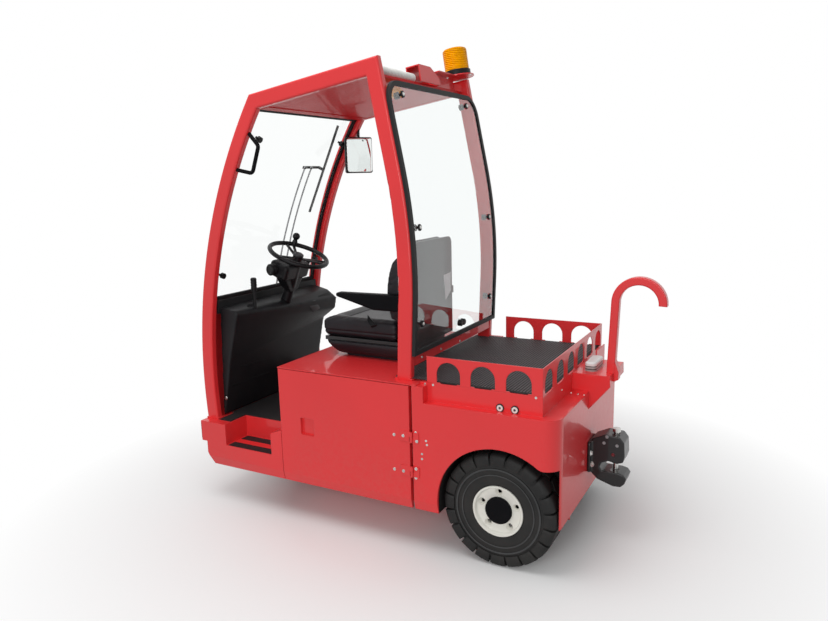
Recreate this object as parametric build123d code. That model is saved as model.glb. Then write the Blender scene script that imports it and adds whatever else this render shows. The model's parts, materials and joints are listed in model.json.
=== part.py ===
from build123d import *
import math
import os

# Airport baggage tug: three wheels, open sided cab, battery under the seat, load deck behind.
# Millimetres. X forward and measured from the rear axle, Y to the left, Z up from the ground.

# Running gear
rear_tyre_radius = 270
rear_tyre_width = 160
wheel_inset = 25
rear_rim_radius = 120
front_tyre_radius = 200
front_tyre_width = 110
front_rim_radius = 105
front_wheel_x = 1480
shaft_clearance = 0.05
touch_gap = 0.3
rear_stub_radius = 30
front_pin_radius = 14
axle_tube_radius = 45
hub_cap_radius = 63
hub_cap_length = 18
rim_flange_depth = 12
rim_dish_depth = 22
rim_disc = 16
rim_hole = 9
rim_hole_reach = 86

# Body
body_half_width = 550
ledge_width = 46
sheet = 6
wall = 12
skirt_thickness = 16
sill_z = 204
sill_bend_z = 252
sill_inset = 13
belly_z = 236
front_x = 1763
front_nook_x = 1727
front_nook_z = 335
front_low_x = 1691
front_bevel_z = 270
bumper_rubber = 12
floor_z = 450
floor_plate = 10
mat_thickness = 5
seat_box_front_x = 1194
seat_box_rear_x = 424
seat_box_top_z = 821
step_front_x = 1585
step_rear_x = 1268
step_z = 332
step_depth = 170
step_strip_width = 55
step_strip_pitch = 105
step_strip_edge = 5
step_strip_depth = 3
door_thickness = 25
door_gap = 3
ledge_z = 738
deck_z = 826
deck_rear_x = -201
rear_x = -283
rear_corner_radius = 75
rear_wall_low_z = 231
rear_wall_inset = 45
fender_low_z = 510
fender_blend = 55
arch_x = -16
arch_lift = 1
arch_gap = 34
wheel_well_gap = 29
deck_mat = 4
seat_mat_front_x = 546

# Deck rail
rail_top_z = 951
rail_sheet = 4
rail_front_x = 353
rail_arch_width = 117
rail_arch_height = 98
rail_arch_base = 6
rail_arch_x0 = -92
rail_arch_pitch = 168
rail_side_arches = 3
rail_rear_arches = 6

# Cab frame, as the centre line of its tube in the XZ plane
post_width = 75
post_thickness = 42
post_round = 10
cab_inset = 50
screen_radius = 2675
screen_foremost = (1769, 682)
roof_front_angle = 33.6
roof_rear = (600, 2245)
rear_knee = (450, 1491)
rear_knee_radius = 2600
rear_foot = (479, 826)
foot_plate = 8
foot_plate_margin = 9

# Glass
glass = 5
seal_width = 22
seal_depth = 16
screen_low_angle = 9.9
screen_high_angle = 32.6
rear_glass_low_z = 960
rear_glass_high_z = 2165
rear_glass_corner = 85
rear_beam_low_z = 885
rear_beam_high_z = 930

# Hitch and hook
hitch_z = 409
hitch_flange = 15
hitch_half_width = 55
hitch_pin_setback = 122
hitch_pin_radius = 12.5
hitch_mouth_low_z = 345
hitch_mouth_high_z = 400
hook_radius = 106
hook_bar = 38
hook_bar_width = 45
hook_y = -15
hook_foot_x = -367
hook_shaft_z = 1165
hook_lean = 2.2
bracket_left_y = 65
bracket_right_y = -225
bracket_rear_x = -380
bracket_end_z = 770
bracket_low_z = 650
bracket_plate_y = -345
bracket_plate_top_z = 876

# Driver's place
seat_half_width = 240
seat_front_x = 1134
seat_rear_x = 570
seat_base_top_z = 925
seat_plate = 12
cushion_z = 1030
backrest_top_z = 1453
backrest_thickness = 137
backrest_foot = 78
backrest_bow_z = 1230
armrest_z = 1184
armrest_front_x = 986
column_tilt = 22
column_radius = 32
steering_wheel_radius = 182
steering_rim = 13
steering_shaft = 9
steering_centre = (1445, 1331)
steering_knob_turn = -42
spoke_turn = -32
pod_size = (130, 230, 92)
dash_half_width = 435
dash_setback = 63

# Overall places
beacon_y = -400
beacon_radius = 66
beacon_plate_radius = 88
beacon_seat = 47
hood_size = (76, 215, 84)
hood_slope = 92
hood_y = 60
conduit_radius = 23
conduit_left_y = 445

# What follows from them
rear_wheel_face_y = body_half_width - wheel_inset
wheel_well_inner_y = rear_wheel_face_y - rear_tyre_width - wheel_well_gap
arch_radius = rear_tyre_radius + arch_gap
arch_z = rear_tyre_radius + arch_lift
rear_wall_half_width = body_half_width - rear_wall_inset
deck_half_width = body_half_width - ledge_width
cab_half_width = body_half_width - cab_inset
dash_front_x = front_x - dash_setback
cab_centre = (screen_foremost[0] - screen_radius, screen_foremost[1])
frame_radius = screen_radius - post_width / 2

nodes = {}


def add(name, shape):
    """Keeps a finished piece under its node's name."""
    nodes[name] = shape


def block(x0, x1, y0, y1, z0, z1):
    """A box between two corners."""
    size = (abs(x1 - x0), abs(y1 - y0), abs(z1 - z0))
    return Pos((x0 + x1) / 2, (y0 + y1) / 2, (z0 + z1) / 2) * Box(*size)


def side_profile(points, y0, y1):
    """An outline in X and Z, as thick as from y0 to y1."""
    outline = Polyline(*points, close=True)
    face = Plane.XZ.offset(-max(y0, y1)) * make_face(outline)
    return extrude(face, abs(y1 - y0))


def cross_profile(points, x0, x1):
    """An outline in Y and Z, as long as from x0 to x1."""
    outline = Polyline(*points, close=True)
    face = Plane.YZ.offset(min(x0, x1)) * make_face(outline)
    return extrude(face, abs(x1 - x0))


def rod(x, z, radius, y0, y1):
    """A round bar along Y."""
    return Pos(x, (y0 + y1) / 2, z) * Rot(90, 0, 0) * Cylinder(radius, abs(y1 - y0))


def post(x, y, radius, z0, z1):
    """A round bar along Z."""
    return Pos(x, y, (z0 + z1) / 2) * Cylinder(radius, z1 - z0)


def turned(points, x, z):
    """A wheel piece turned about an axle along Y: points are (y, radius)."""
    outline = Polyline(*points, close=True)
    face = make_face(outline)
    body = revolve(face, Axis.X)
    return Pos(x, 0, z) * Rot(0, 0, 90) * body


def mirrored(shape):
    """The same piece on the other side."""
    return mirror(shape, Plane.XZ)


def lane(path, section):
    """Sweeps a section whose own x is the width in Y along a path in the XZ plane."""
    start = Plane(origin=path @ 0, x_dir=(0, 1, 0), z_dir=path % 0)
    return sweep(start * section, path=path, transition=Transition.RIGHT)


def on_side(point, y=0):
    """A point of the XZ plane."""
    return Vector(point[0], y, point[1])


def screen_point(angle, offset=0):
    """A point on the front posts' arc, offset outwards from its centre line."""
    reach = frame_radius + offset
    turn = math.radians(angle)
    return (cab_centre[0] + reach * math.cos(turn), cab_centre[1] + reach * math.sin(turn))


def screen_arc(low, high, offset=0):
    """Part of the front posts' arc."""
    middle = (low + high) / 2
    ends = [on_side(screen_point(a, offset)) for a in (low, middle, high)]
    return ThreePointArc(*ends)


def screen_angle(z, offset=0):
    """The angle at which the arc passes a height."""
    return math.degrees(math.asin((z - cab_centre[1]) / (frame_radius + offset)))


def along(a, b, z):
    """The point at height z on the line from a to b."""
    share = (z - a[1]) / (b[1] - a[1])
    return (a[0] + share * (b[0] - a[0]), z)


def rear_path(low, high, offset=0):
    """Part of the rear posts' line between two heights, moved back by an offset."""
    foot = along(rear_foot, rear_knee, low)
    top = along(rear_knee, roof_rear, high)
    points = [on_side((p[0] - offset, p[1])) for p in (foot, rear_knee, top)]
    return FilletPolyline(*points, radius=rear_knee_radius)


def rear_spot(z, offset):
    """Where the rear glass line passes a height, and its direction there."""
    path = rear_path(rear_glass_low_z, rear_glass_high_z, offset)
    low, high = 0, 1
    for step in range(20):
        middle = (low + high) / 2
        if (path @ middle).Z < z:
            low = middle
        else:
            high = middle
    return path @ low, path % low


# Wheels and axle
def rear_wheel_inner_y():
    return rear_wheel_face_y - rear_tyre_width


def tyre(radius, rim, y0, y1, x, z):
    """A solid tyre with square shoulders and full sidewalls."""
    shoulder = 0.86 * radius
    points = [
        (y0 + 8, rim),
        (y0, shoulder),
        (y0 + 20, radius),
        (y1 - 20, radius),
        (y1, shoulder),
        (y1 - 8, rim),
    ]
    return turned(points, x, z)


def rear_rim():
    """The left rim: barrel, outer flange and a dished disc on the stub."""
    inner = rear_wheel_inner_y() + rim_flange_depth
    face = rear_wheel_face_y - rim_dish_depth
    flange = rear_wheel_face_y - 2
    bore = rear_stub_radius + shaft_clearance
    points = [
        (inner, rear_rim_radius),
        (flange, rear_rim_radius),
        (flange, rear_rim_radius - 9),
        (face + 5, rear_rim_radius - 15),
        (face, hub_cap_radius + 6),
        (face, bore),
        (face - rim_disc, bore),
        (face - rim_disc, rear_rim_radius - 26),
        (inner, rear_rim_radius - 10),
    ]
    rim = turned(points, 0, rear_tyre_radius)
    hole = Pos(0, face, rear_tyre_radius + rim_hole_reach) * Rot(90, 0, 0)
    hole *= Cylinder(rim_hole, 4 * rim_disc) + Cone(rim_hole + 14, rim_hole, 24)
    for number in range(5):
        turn = Pos(0, 0, rear_tyre_radius) * Rot(0, 72 * number, 0) * Pos(0, 0, -rear_tyre_radius)
        rim -= turn * hole
    return rim


def hub_cap():
    """The black cap over the left hub."""
    face = rear_wheel_face_y - rim_dish_depth
    cap = rod(0, rear_tyre_radius, hub_cap_radius, face, face + hub_cap_length)
    rims = cap.edges().group_by(Axis.Y)[-1]
    return fillet(rims, 8)


add("rear_left_tyre", tyre(rear_tyre_radius, rear_rim_radius, rear_wheel_inner_y(),
                           rear_wheel_face_y, 0, rear_tyre_radius))
add("rear_left_rim", rear_rim())
add("rear_left_hub_cap", hub_cap())
for piece in ("tyre", "rim", "hub_cap"):
    add("rear_right_" + piece, mirrored(nodes["rear_left_" + piece]))

stub_end = rear_wheel_face_y - rim_dish_depth - 2
axle = rod(0, rear_tyre_radius, axle_tube_radius, -wheel_well_inner_y, wheel_well_inner_y)
axle += rod(0, rear_tyre_radius, rear_stub_radius, -stub_end, stub_end)
axle += Pos(0, 0, rear_tyre_radius) * Sphere(115)
axle += Pos(200, 0, rear_tyre_radius) * Rot(0, 90, 0) * Cylinder(105, 260)
rail_z = 340
for y in (-200, 200):
    axle += block(-45, 45, y - 30, y + 30, rear_tyre_radius, rail_z)
add("rear_axle", axle)


def front_wheel():
    half = front_tyre_width / 2
    add("front_tyre", tyre(front_tyre_radius, front_rim_radius, -half, half,
                           front_wheel_x, front_tyre_radius))
    bore = front_pin_radius + shaft_clearance
    points = [
        (-half + 14, front_rim_radius),
        (half - 14, front_rim_radius),
        (half - 14, front_rim_radius - 12),
        (12, front_rim_radius - 20),
        (12, 45),
        (half - 6, 38),
        (half - 6, bore),
        (-half + 6, bore),
        (-half + 6, 38),
        (-12, 45),
        (-12, front_rim_radius - 20),
        (-half + 14, front_rim_radius - 12),
    ]
    add("front_rim", turned(points, front_wheel_x, front_tyre_radius))


front_wheel()

# Front fork under the cab floor, turning about the vertical through the wheel's axle
fork_gap = 7
fork_leg = 14
fork_top_z = floor_z - floor_plate - 14
fork_crown = 16
leg_y = front_tyre_width / 2 + fork_gap
fork = block(front_wheel_x - 70, front_wheel_x + 70, -leg_y - fork_leg, leg_y + fork_leg,
             fork_top_z - fork_crown, fork_top_z)
for side in (-1, 1):
    leg = [
        (front_wheel_x - 55, fork_top_z - fork_crown),
        (front_wheel_x + 55, fork_top_z - fork_crown),
        (front_wheel_x + 32, front_tyre_radius - 20),
        (front_wheel_x, front_tyre_radius - 34),
        (front_wheel_x - 32, front_tyre_radius - 20),
    ]
    fork += side_profile(leg, side * leg_y, side * (leg_y + fork_leg))
fork += rod(front_wheel_x, front_tyre_radius, front_pin_radius, -leg_y - fork_leg - 10,
            leg_y + fork_leg + 10)
fork += post(front_wheel_x, 0, 60, fork_top_z, floor_z - floor_plate - 0.5)
add("front_fork", fork)


# Front body with the cab floor and the steps
def step_strip(number, side):
    """A grip strip let into the step, counted from the outside."""
    outer = body_half_width - step_strip_edge - number * step_strip_pitch
    return block(step_rear_x + 6, step_front_x - 8, side * (outer - step_strip_width),
                 side * outer, step_z - step_strip_depth, step_z + 1)


def front_body():
    outline = [
        (seat_box_front_x, sill_z),
        (front_low_x, sill_z),
        (front_nook_x, front_bevel_z),
        (front_nook_x, front_nook_z),
        (front_x, front_nook_z),
        (front_x, floor_z),
        (seat_box_front_x, floor_z),
    ]
    body = side_profile(outline, -body_half_width, body_half_width)
    inner = body_half_width - skirt_thickness
    step_inner_y = body_half_width - step_depth
    back = seat_box_front_x + wall
    fore = front_nook_x - wall
    under = floor_z - floor_plate
    core = step_inner_y - sheet
    body -= block(back, fore, -core, core, sill_z - 1, under)
    body -= block(back, front_low_x - wall, -inner, inner, sill_z - 1, step_z - sheet)
    body -= block(fore - 1, front_x - wall, -inner, inner, front_nook_z + wall, under)
    for side in (-1, 1):
        body -= block(step_front_x + sheet, fore, side * core, side * inner,
                      step_z - sheet - 1, under)
        body -= block(step_rear_x, step_front_x, side * step_inner_y,
                      side * (body_half_width + 1), step_z, floor_z + 1)
        bevel = [
            (side * body_half_width, sill_bend_z),
            (side * (body_half_width - sill_inset), sill_z - 1),
            (side * (body_half_width + 1), sill_z - 1),
        ]
        body -= cross_profile(bevel, seat_box_front_x - 1, front_x + 1)
        riser = [
            (seat_box_front_x, floor_z),
            (step_rear_x, floor_z),
            (seat_box_front_x, floor_z + 27),
        ]
        body += side_profile(riser, side * step_inner_y, side * body_half_width)
    for number in range(2):
        for side in (-1, 1):
            body -= step_strip(number, side)
    return body


add("front_body", front_body())


def step_strips():
    strips = Part()
    for number in range(2):
        for side in (-1, 1):
            strips += step_strip(number, side)
    return strips


add("bumper_rubber", block(front_x, front_x + bumper_rubber, -body_half_width + 10,
                           body_half_width - 10, front_nook_z + 8, floor_z - 12))

mat_inner = body_half_width - step_depth - 6
mat = block(seat_box_front_x + 2, step_front_x + 110, -mat_inner, mat_inner,
            floor_z, floor_z + mat_thickness)
mat_side = cab_half_width - 2
mat += block(step_front_x + 6, step_front_x + 86, -mat_side, mat_side, floor_z, floor_z + mat_thickness)
add("floor_mats", mat + step_strips())


# Seat box: top plate, front and rear walls and battery tray, open to the doors
def seat_box():
    inner = body_half_width - door_thickness - door_gap
    low = belly_z
    high = seat_box_top_z
    box = block(seat_box_rear_x - wall, seat_box_front_x, -inner, inner, low, high)
    box -= block(seat_box_rear_x, seat_box_front_x - wall, -inner - 1, inner + 1,
                 low + wall, high - wall)
    lid = block(seat_box_rear_x - wall - 24, seat_box_front_x, -body_half_width,
                body_half_width, high - sheet, high)
    box += lid
    return box


add("seat_box", seat_box())

battery_half_width = body_half_width - 150
battery_z0 = belly_z + wall
battery_top_z = 760
battery = block(seat_box_rear_x + 76, seat_box_front_x - 54, -battery_half_width,
                battery_half_width, battery_z0, battery_top_z)
add("battery", battery)


# Battery door, hinged at its rear edge
hinge_x = seat_box_rear_x - 9
hinge_barrel = 7
hinge_y = body_half_width + hinge_barrel + 0.3
hinge_pin = 3.5
hinge_z = (396, 567)
hinge_length = 50
door_top_z = seat_box_top_z - sheet - door_gap
door_rear_x = seat_box_rear_x + door_gap
door_front_x = seat_box_front_x - door_gap


def battery_door():
    outline = [
        (body_half_width, door_top_z),
        (body_half_width, sill_bend_z),
        (body_half_width - sill_inset, sill_z),
        (body_half_width - door_thickness, sill_z),
        (body_half_width - door_thickness, door_top_z),
    ]
    door = cross_profile(outline, door_rear_x, door_front_x)
    pull = block(980, 1062, body_half_width - 16, body_half_width + 1, 478, 568)
    door -= fillet(pull.edges().filter_by(Axis.Y), 8)
    for z in hinge_z:
        leaf = block(hinge_x, hinge_x + 62, body_half_width, body_half_width + 4,
                     z - hinge_length / 2, z + hinge_length / 2)
        barrel = post(hinge_x, hinge_y, hinge_barrel, z, z + hinge_length / 2)
        leaf -= block(hinge_x - 10, door_rear_x, body_half_width - 1, body_half_width + 5,
                      z - hinge_length / 2 - 1, z)
        bore = post(hinge_x, hinge_y, hinge_pin + shaft_clearance, z - 1, z + hinge_length)
        door += leaf + barrel
        door -= bore
    return door


add("door_left", battery_door())
add("door_right", mirrored(nodes["door_left"]))


def hinge_fixed():
    """The fixed leaves with the lower barrel halves and the pins."""
    leaves = Part()
    for z in hinge_z:
        leaf = block(hinge_x - 38, hinge_x - 7.6, body_half_width, body_half_width + 4,
                     z - hinge_length / 2, z + hinge_length / 2)
        low = post(hinge_x, hinge_y, hinge_barrel, z - hinge_length / 2, z - 0.3)
        web = block(hinge_x - 10, hinge_x, body_half_width, body_half_width + 4,
                    z - hinge_length / 2, z - 0.3)
        pin = post(hinge_x, hinge_y, hinge_pin, z - hinge_length / 2, z + hinge_length / 2)
        leaves += leaf + low + web + pin
    return leaves


add("door_hinges", hinge_fixed() + mirrored(hinge_fixed()))


# Rear body: fenders, rear wall and deck box
def wheel_well(near, far):
    """The round arch, running out behind the wheel into the fender's level lower edge."""
    low = sill_z - 1
    arch = Pos(arch_x, arch_z) * Circle(arch_radius)
    below = Pos(arch_x, (low + arch_z) / 2) * Rectangle(2 * arch_radius, arch_z - low)
    width = arch_x - rear_x + 2
    behind = Pos(arch_x - width / 2, (low + fender_low_z) / 2)
    behind *= Rectangle(width, fender_low_z - low)
    reach = math.sqrt(arch_radius ** 2 - (fender_low_z - arch_z) ** 2)
    meet = Vector(arch_x - reach, fender_low_z, 0)
    outline = arch + below + behind
    corner = outline.vertices().sort_by_distance(meet)[0]
    outline = fillet(corner, fender_blend)
    face = Plane.XZ.offset(-max(near, far)) * outline
    return extrude(face, abs(far - near))


def rear_body():
    pillar_x = hinge_x - 3
    box = block(rear_x, pillar_x, -body_half_width, body_half_width, sill_z, ledge_z)
    corners = box.edges().filter_by(Axis.Z).group_by(Axis.X)[0]
    box = fillet(corners, rear_corner_radius)
    for side in (-1, 1):
        bevel = [
            (side * body_half_width, sill_bend_z),
            (side * (body_half_width - sill_inset), sill_z - 1),
            (side * (body_half_width + 1), sill_z - 1),
        ]
        box -= cross_profile(bevel, rear_x - 1, pillar_x + 1)
    box += block(deck_rear_x, seat_box_rear_x - wall - 24, -deck_half_width,
                 deck_half_width, ledge_z, deck_z)
    box += block(seat_box_rear_x - wall - 60, pillar_x, -body_half_width, body_half_width,
                 ledge_z, seat_box_top_z - sheet)
    # Hollow under the deck and between the wheels
    back = rear_x + sheet
    fore = pillar_x + 1
    inner = body_half_width - skirt_thickness
    core = wheel_well_inner_y - wall
    well_roof = arch_z + arch_radius + wall
    box -= block(back, fore, -core, core, sill_z - 1, ledge_z - wall)
    box -= block(back, fore, -inner + rear_corner_radius, inner - rear_corner_radius,
                 well_roof, ledge_z - wall)
    box -= block(arch_x, fore, -inner, inner, well_roof, ledge_z - wall)
    box -= block(deck_rear_x + wall, fore, -deck_half_width + wall, deck_half_width - wall,
                 ledge_z - wall - 1, deck_z - wall)
    # Wheel wells, open below and behind the wheel
    for side in (-1, 1):
        far = side * (body_half_width + 1)
        near = side * wheel_well_inner_y
        keep = block(rear_x - 1, back, -rear_wall_half_width, rear_wall_half_width,
                     sill_z - 2, ledge_z)
        box -= wheel_well(near, far) - keep
        box -= block(arch_x + arch_radius + wall, fore, near, side * inner,
                     sill_z - 1, well_roof + 1)
        box -= rod(0, rear_tyre_radius, axle_tube_radius + 8, side * (core - 1), near)
    box -= block(rear_x - 1, back + 1, -body_half_width - 1, body_half_width + 1,
                 sill_z - 1, rear_wall_low_z)
    return box


add("rear_body", rear_body())

rails = Part()
for y in (-200, 200):
    rails += block(rear_x + sheet, seat_box_rear_x - wall, y - 25, y + 25, rail_z, rail_z + 60)
add("chassis_rails", rails)

mat_edge = 8
deck_mat_body = block(deck_rear_x + mat_edge, rail_front_x, -deck_half_width + mat_edge,
                      deck_half_width - mat_edge, deck_z, deck_z + deck_mat)
mat_half = cab_half_width - post_thickness - mat_edge
deck_mat_body += block(rail_front_x, seat_box_rear_x - wall - 24, -mat_half, mat_half,
                       deck_z, deck_z + deck_mat)
deck_mat_body += block(seat_box_rear_x - wall - 20, seat_mat_front_x, -mat_half, mat_half,
                       seat_box_top_z, seat_box_top_z + deck_mat)
add("deck_mat", deck_mat_body)


def arch_cutter(width, height, depth):
    """A round topped window, standing at the origin and cutting along its own Y."""
    radius = width / 2
    straight = height - radius
    cut = Pos(0, 0, straight / 2) * Box(width, depth, straight)
    cut += Pos(0, 0, straight) * Rot(90, 0, 0) * Cylinder(radius, depth)
    return cut


def deck_rail():
    outer = deck_half_width
    rail = block(deck_rear_x, rail_front_x, -outer, outer, deck_z, rail_top_z)
    rail -= block(deck_rear_x + rail_sheet, rail_front_x + 1, -outer + rail_sheet,
                  outer - rail_sheet, deck_z - 1, rail_top_z + 1)
    window = arch_cutter(rail_arch_width, rail_arch_height, 3 * outer)
    for number in range(rail_side_arches):
        x = rail_arch_x0 + number * rail_arch_pitch
        rail -= Pos(x, 0, deck_z + rail_arch_base) * window
    pitch = 2 * outer / rail_rear_arches
    short = arch_cutter(rail_arch_width, rail_arch_height, 4 * rail_sheet)
    for number in range(rail_rear_arches):
        y = -outer + (number + 0.5) * pitch
        rail -= Pos(deck_rear_x, y, deck_z + rail_arch_base) * Rot(0, 0, 90) * short
    return rail


add("deck_rail", deck_rail())


def side_buttons():
    buttons = Part()
    for side in (-1, 1):
        for x in (-7, -76):
            buttons += rod(x, ledge_z + 16, 14, side * deck_half_width,
                           side * (deck_half_width + 7))
    return buttons


add("side_buttons", side_buttons())


# Rear bracket box with lamp and hook
def rear_bracket():
    outline = [
        (deck_rear_x, deck_z - 4),
        (bracket_rear_x, deck_z - 4),
        (bracket_rear_x - 2, bracket_end_z),
        (rear_x, bracket_low_z),
        (rear_x, ledge_z),
        (deck_rear_x, ledge_z),
    ]
    body = side_profile(outline, bracket_right_y, bracket_left_y)
    back = rear_x + 27
    plate = block(back, back + sheet, bracket_plate_y, bracket_right_y, ledge_z, bracket_plate_top_z)
    foot = block(back, back + sheet, bracket_right_y, bracket_right_y + 45, deck_z - 4,
                 bracket_plate_top_z)
    return body + plate + foot


add("rear_bracket", rear_bracket())
bracket_top_z = deck_z - 4
lamp_body = block(rear_x - 17, rear_x + 38, -145, 15, bracket_top_z, bracket_top_z + 44)
lamp_body = fillet(lamp_body.edges().filter_by(Axis.Z), 20)
add("rear_lamp", fillet(lamp_body.edges().group_by(Axis.Z)[-1], 10))


def hook():
    foot = on_side((hook_foot_x, bracket_top_z), hook_y)
    knee = on_side((hook_foot_x, hook_shaft_z), hook_y)
    top = on_side((hook_foot_x - hook_radius, hook_shaft_z + hook_radius), hook_y)
    tip = on_side((hook_foot_x - 2 * hook_radius, hook_shaft_z), hook_y)
    path = Wire([Line(foot, knee), ThreePointArc(knee, top, tip)])
    bar = lane(path, RectangleRounded(hook_bar_width, hook_bar, 6))
    gusset = [
        (hook_foot_x - hook_bar / 2 + 1, bracket_top_z + 60),
        (hook_foot_x - hook_bar / 2 - 20, bracket_top_z + 6),
        (hook_foot_x - hook_bar / 2 - 20, bracket_top_z - 28),
        (bracket_rear_x + 1 - 3, bracket_top_z - 40),
        (bracket_rear_x + 1 - 3, bracket_top_z),
        (hook_foot_x - hook_bar / 2 + 1, bracket_top_z),
    ]
    bar = bar + side_profile(gusset, hook_y - hook_bar_width / 2, hook_y + hook_bar_width / 2)
    lean = Pos(hook_foot_x, 0, bracket_top_z) * Rot(0, -hook_lean, 0)
    lean *= Pos(-hook_foot_x, 0, -bracket_top_z)
    under = block(hook_foot_x - 100, hook_foot_x + 100, -100, 100, bracket_low_z, bracket_top_z)
    return lean * bar - nodes["rear_bracket"] - (under & nodes["rear_bracket"])


add("lifting_hook", hook())


# Automatic hitch, its outlines measured back from the rear wall and up from its middle
hitch_pin_x = rear_x - hitch_pin_setback


def hitch():
    flange = block(rear_x - hitch_flange, rear_x, -75, 75, hitch_z - 77, hitch_z + 77)
    flange = fillet(flange.edges().filter_by(Axis.X), 14)
    root = hitch_flange
    low = hitch_mouth_low_z - hitch_z
    high = hitch_mouth_high_z - hitch_z
    upper = [(root, low - 10), (root, 91), (77, 121), (147, 117), (169, 91), (173, 21), (165, -7),
             (135, -17), (97, high), (62, -24), (55, -44), (62, low)]
    lower = [(root, -37), (55, -44), (67, low), (147, low), (169, -69), (183, -87), (175, -113),
             (157, -131), (122, -133), (47, -109), (root, -79)]
    upper, lower = ([(rear_x - back, hitch_z + up) for back, up in part] for part in (upper, lower))
    body = flange
    body += side_profile(upper, -hitch_half_width, hitch_half_width)
    body += side_profile(lower, -hitch_half_width, hitch_half_width)
    body -= post(hitch_pin_x, 0, hitch_pin_radius + shaft_clearance, hitch_z - 159, hitch_z + 191)
    return body


add("tow_hitch", hitch())
pin_head_z = hitch_z + 127
tow_pin = post(hitch_pin_x, 0, hitch_pin_radius, hitch_z - 109, pin_head_z)
tow_pin += post(hitch_pin_x, 0, 19, pin_head_z, pin_head_z + 16)
add("tow_pin", tow_pin)


# Cab side frames
def cab_side():
    low_angle = screen_angle(floor_z)
    corner = screen_point(roof_front_angle)
    y = cab_half_width - post_thickness / 2
    front = screen_arc(low_angle, roof_front_angle)
    roof = Line(on_side(corner), on_side(roof_rear))
    down = FilletPolyline(on_side(roof_rear), on_side(rear_knee), on_side(rear_foot),
                          radius=rear_knee_radius)
    path = Wire([front, roof] + list(down.edges()))
    section = RectangleRounded(post_thickness, post_width, post_round)
    frame = Pos(0, y, 0) * lane(path, section)
    frame -= block(front_x - 300, front_x + 100, 0, 2 * y, 0, floor_z)
    half = post_width / 2 + foot_plate_margin
    inner = cab_half_width - post_thickness
    frame += block(front_x - half - post_width / 2, front_x, inner, cab_half_width,
                   floor_z, floor_z + foot_plate)
    frame += block(rear_foot[0] - half, rear_foot[0] + half, inner, cab_half_width,
                   deck_z - 5, deck_z - 5 + foot_plate)
    return frame


add("cab_frame_left", cab_side())
add("cab_frame_right", mirrored(nodes["cab_frame_left"]))

cab_inner_y = cab_half_width - post_thickness


roof_corner = screen_point(roof_front_angle)
roof_run = (roof_rear[0] - roof_corner[0], roof_rear[1] - roof_corner[1])
roof_length = math.hypot(*roof_run)
roof_tilt = math.degrees(math.atan2(roof_run[1], -roof_run[0]))
roof_centre = ((roof_corner[0] + roof_rear[0]) / 2, (roof_corner[1] + roof_rear[1]) / 2)
roof_place = Pos(roof_centre[0], 0, roof_centre[1]) * Rot(0, roof_tilt, 0)
roof_skin = 10
roof_skin_z = 3 + roof_skin / 2 - post_width / 2
roof_top = roof_skin_z + roof_skin / 2
roof_beam = 50


def roof():
    """A panel low between the side tubes, with a tall beam in front and a flat one behind."""
    panel = Pos(0, 0, roof_skin_z) * Box(roof_length - 40, 2 * cab_inner_y, roof_skin)
    low = -post_width / 2
    for end, top in ((1, -low - 4), (-1, roof_top)):
        middle = Pos(end * (roof_length / 2 - 5 - roof_beam / 2), 0, (low + top) / 2)
        panel += middle * Box(roof_beam, 2 * cab_inner_y, top - low)
    return roof_place * panel


add("roof", roof())


# Windscreen and its rubber
def windscreen():
    grip = 10
    width = 2 * (cab_inner_y - seal_width + grip)
    step = math.degrees(grip / frame_radius)
    pane = lane(screen_arc(screen_low_angle - step, screen_high_angle + step),
                Rectangle(width, glass))
    whole = lane(screen_arc(screen_low_angle - 2 * step, screen_high_angle + 2 * step),
                 Rectangle(2 * cab_inner_y, seal_depth))
    hole = lane(screen_arc(screen_low_angle, screen_high_angle),
                Rectangle(2 * (cab_inner_y - seal_width), seal_depth + 10))
    add("windscreen", pane)
    add("windscreen_seal", whole - hole - pane)


windscreen()

# Front panel below the windscreen, with its cross beam
beam_high_angle = screen_low_angle - 2 * math.degrees(10 / frame_radius)
beam_depth = 40
panel_low_angle = screen_angle(floor_z)
front_panel = lane(screen_arc(panel_low_angle, beam_high_angle), Rectangle(2 * cab_inner_y, sheet))
front_panel += lane(screen_arc(beam_high_angle - 0.9, beam_high_angle),
                    Rectangle(2 * cab_inner_y, beam_depth))
front_panel -= block(front_x - 300, front_x + 100, -600, 600, 0, floor_z)
add("front_panel", front_panel)

headlamps = Part()
lamp_z = 720
lamp_x = screen_point(screen_angle(lamp_z))[0] + sheet / 2 - 1
for side in (-1, 1):
    headlamps += Pos(lamp_x - 8, side * 330, lamp_z) * Rot(0, 90, 0) * Cylinder(62, 26)
behind = 40
headlamps -= lane(screen_arc(panel_low_angle, beam_high_angle,
                             (sheet - behind) / 2 + touch_gap), Rectangle(2 * cab_inner_y, behind))
add("headlamps", headlamps)


# Rear window on the back of the rear posts
def rounded_top(shape, radius):
    """Rounds the two upper corners of an upright sheet, seen along X."""
    box = shape.bounding_box()
    half, low, high = box.max.Y, box.min.Z, box.max.Z
    outline = Pos(0, (low + high) / 2) * Rectangle(2 * half, high - low)
    outline = fillet(outline.vertices().group_by(Axis.Y)[-1], radius)
    face = Plane.YZ.offset(box.min.X - 1) * outline
    return shape & extrude(face, box.size.X + 2)


def rear_window():
    back = post_width / 2 + seal_depth / 2 + 1
    grip = 10
    half = cab_half_width - 8
    pane = lane(rear_path(rear_glass_low_z - grip, rear_glass_high_z + grip, back),
                Rectangle(2 * (half - seal_width + grip), glass))
    whole = lane(rear_path(rear_glass_low_z - seal_width, rear_glass_high_z + seal_width, back),
                 Rectangle(2 * half, seal_depth))
    hole = lane(rear_path(rear_glass_low_z, rear_glass_high_z, back),
                Rectangle(2 * (half - seal_width), seal_depth + 10))
    pane, whole, hole = (
        rounded_top(shape, radius)
        for shape, radius in ((pane, rear_glass_corner + grip),
                              (whole, rear_glass_corner + seal_width),
                              (hole, rear_glass_corner))
    )
    add("rear_window", pane)
    add("rear_window_seal", whole - hole - pane)


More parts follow.
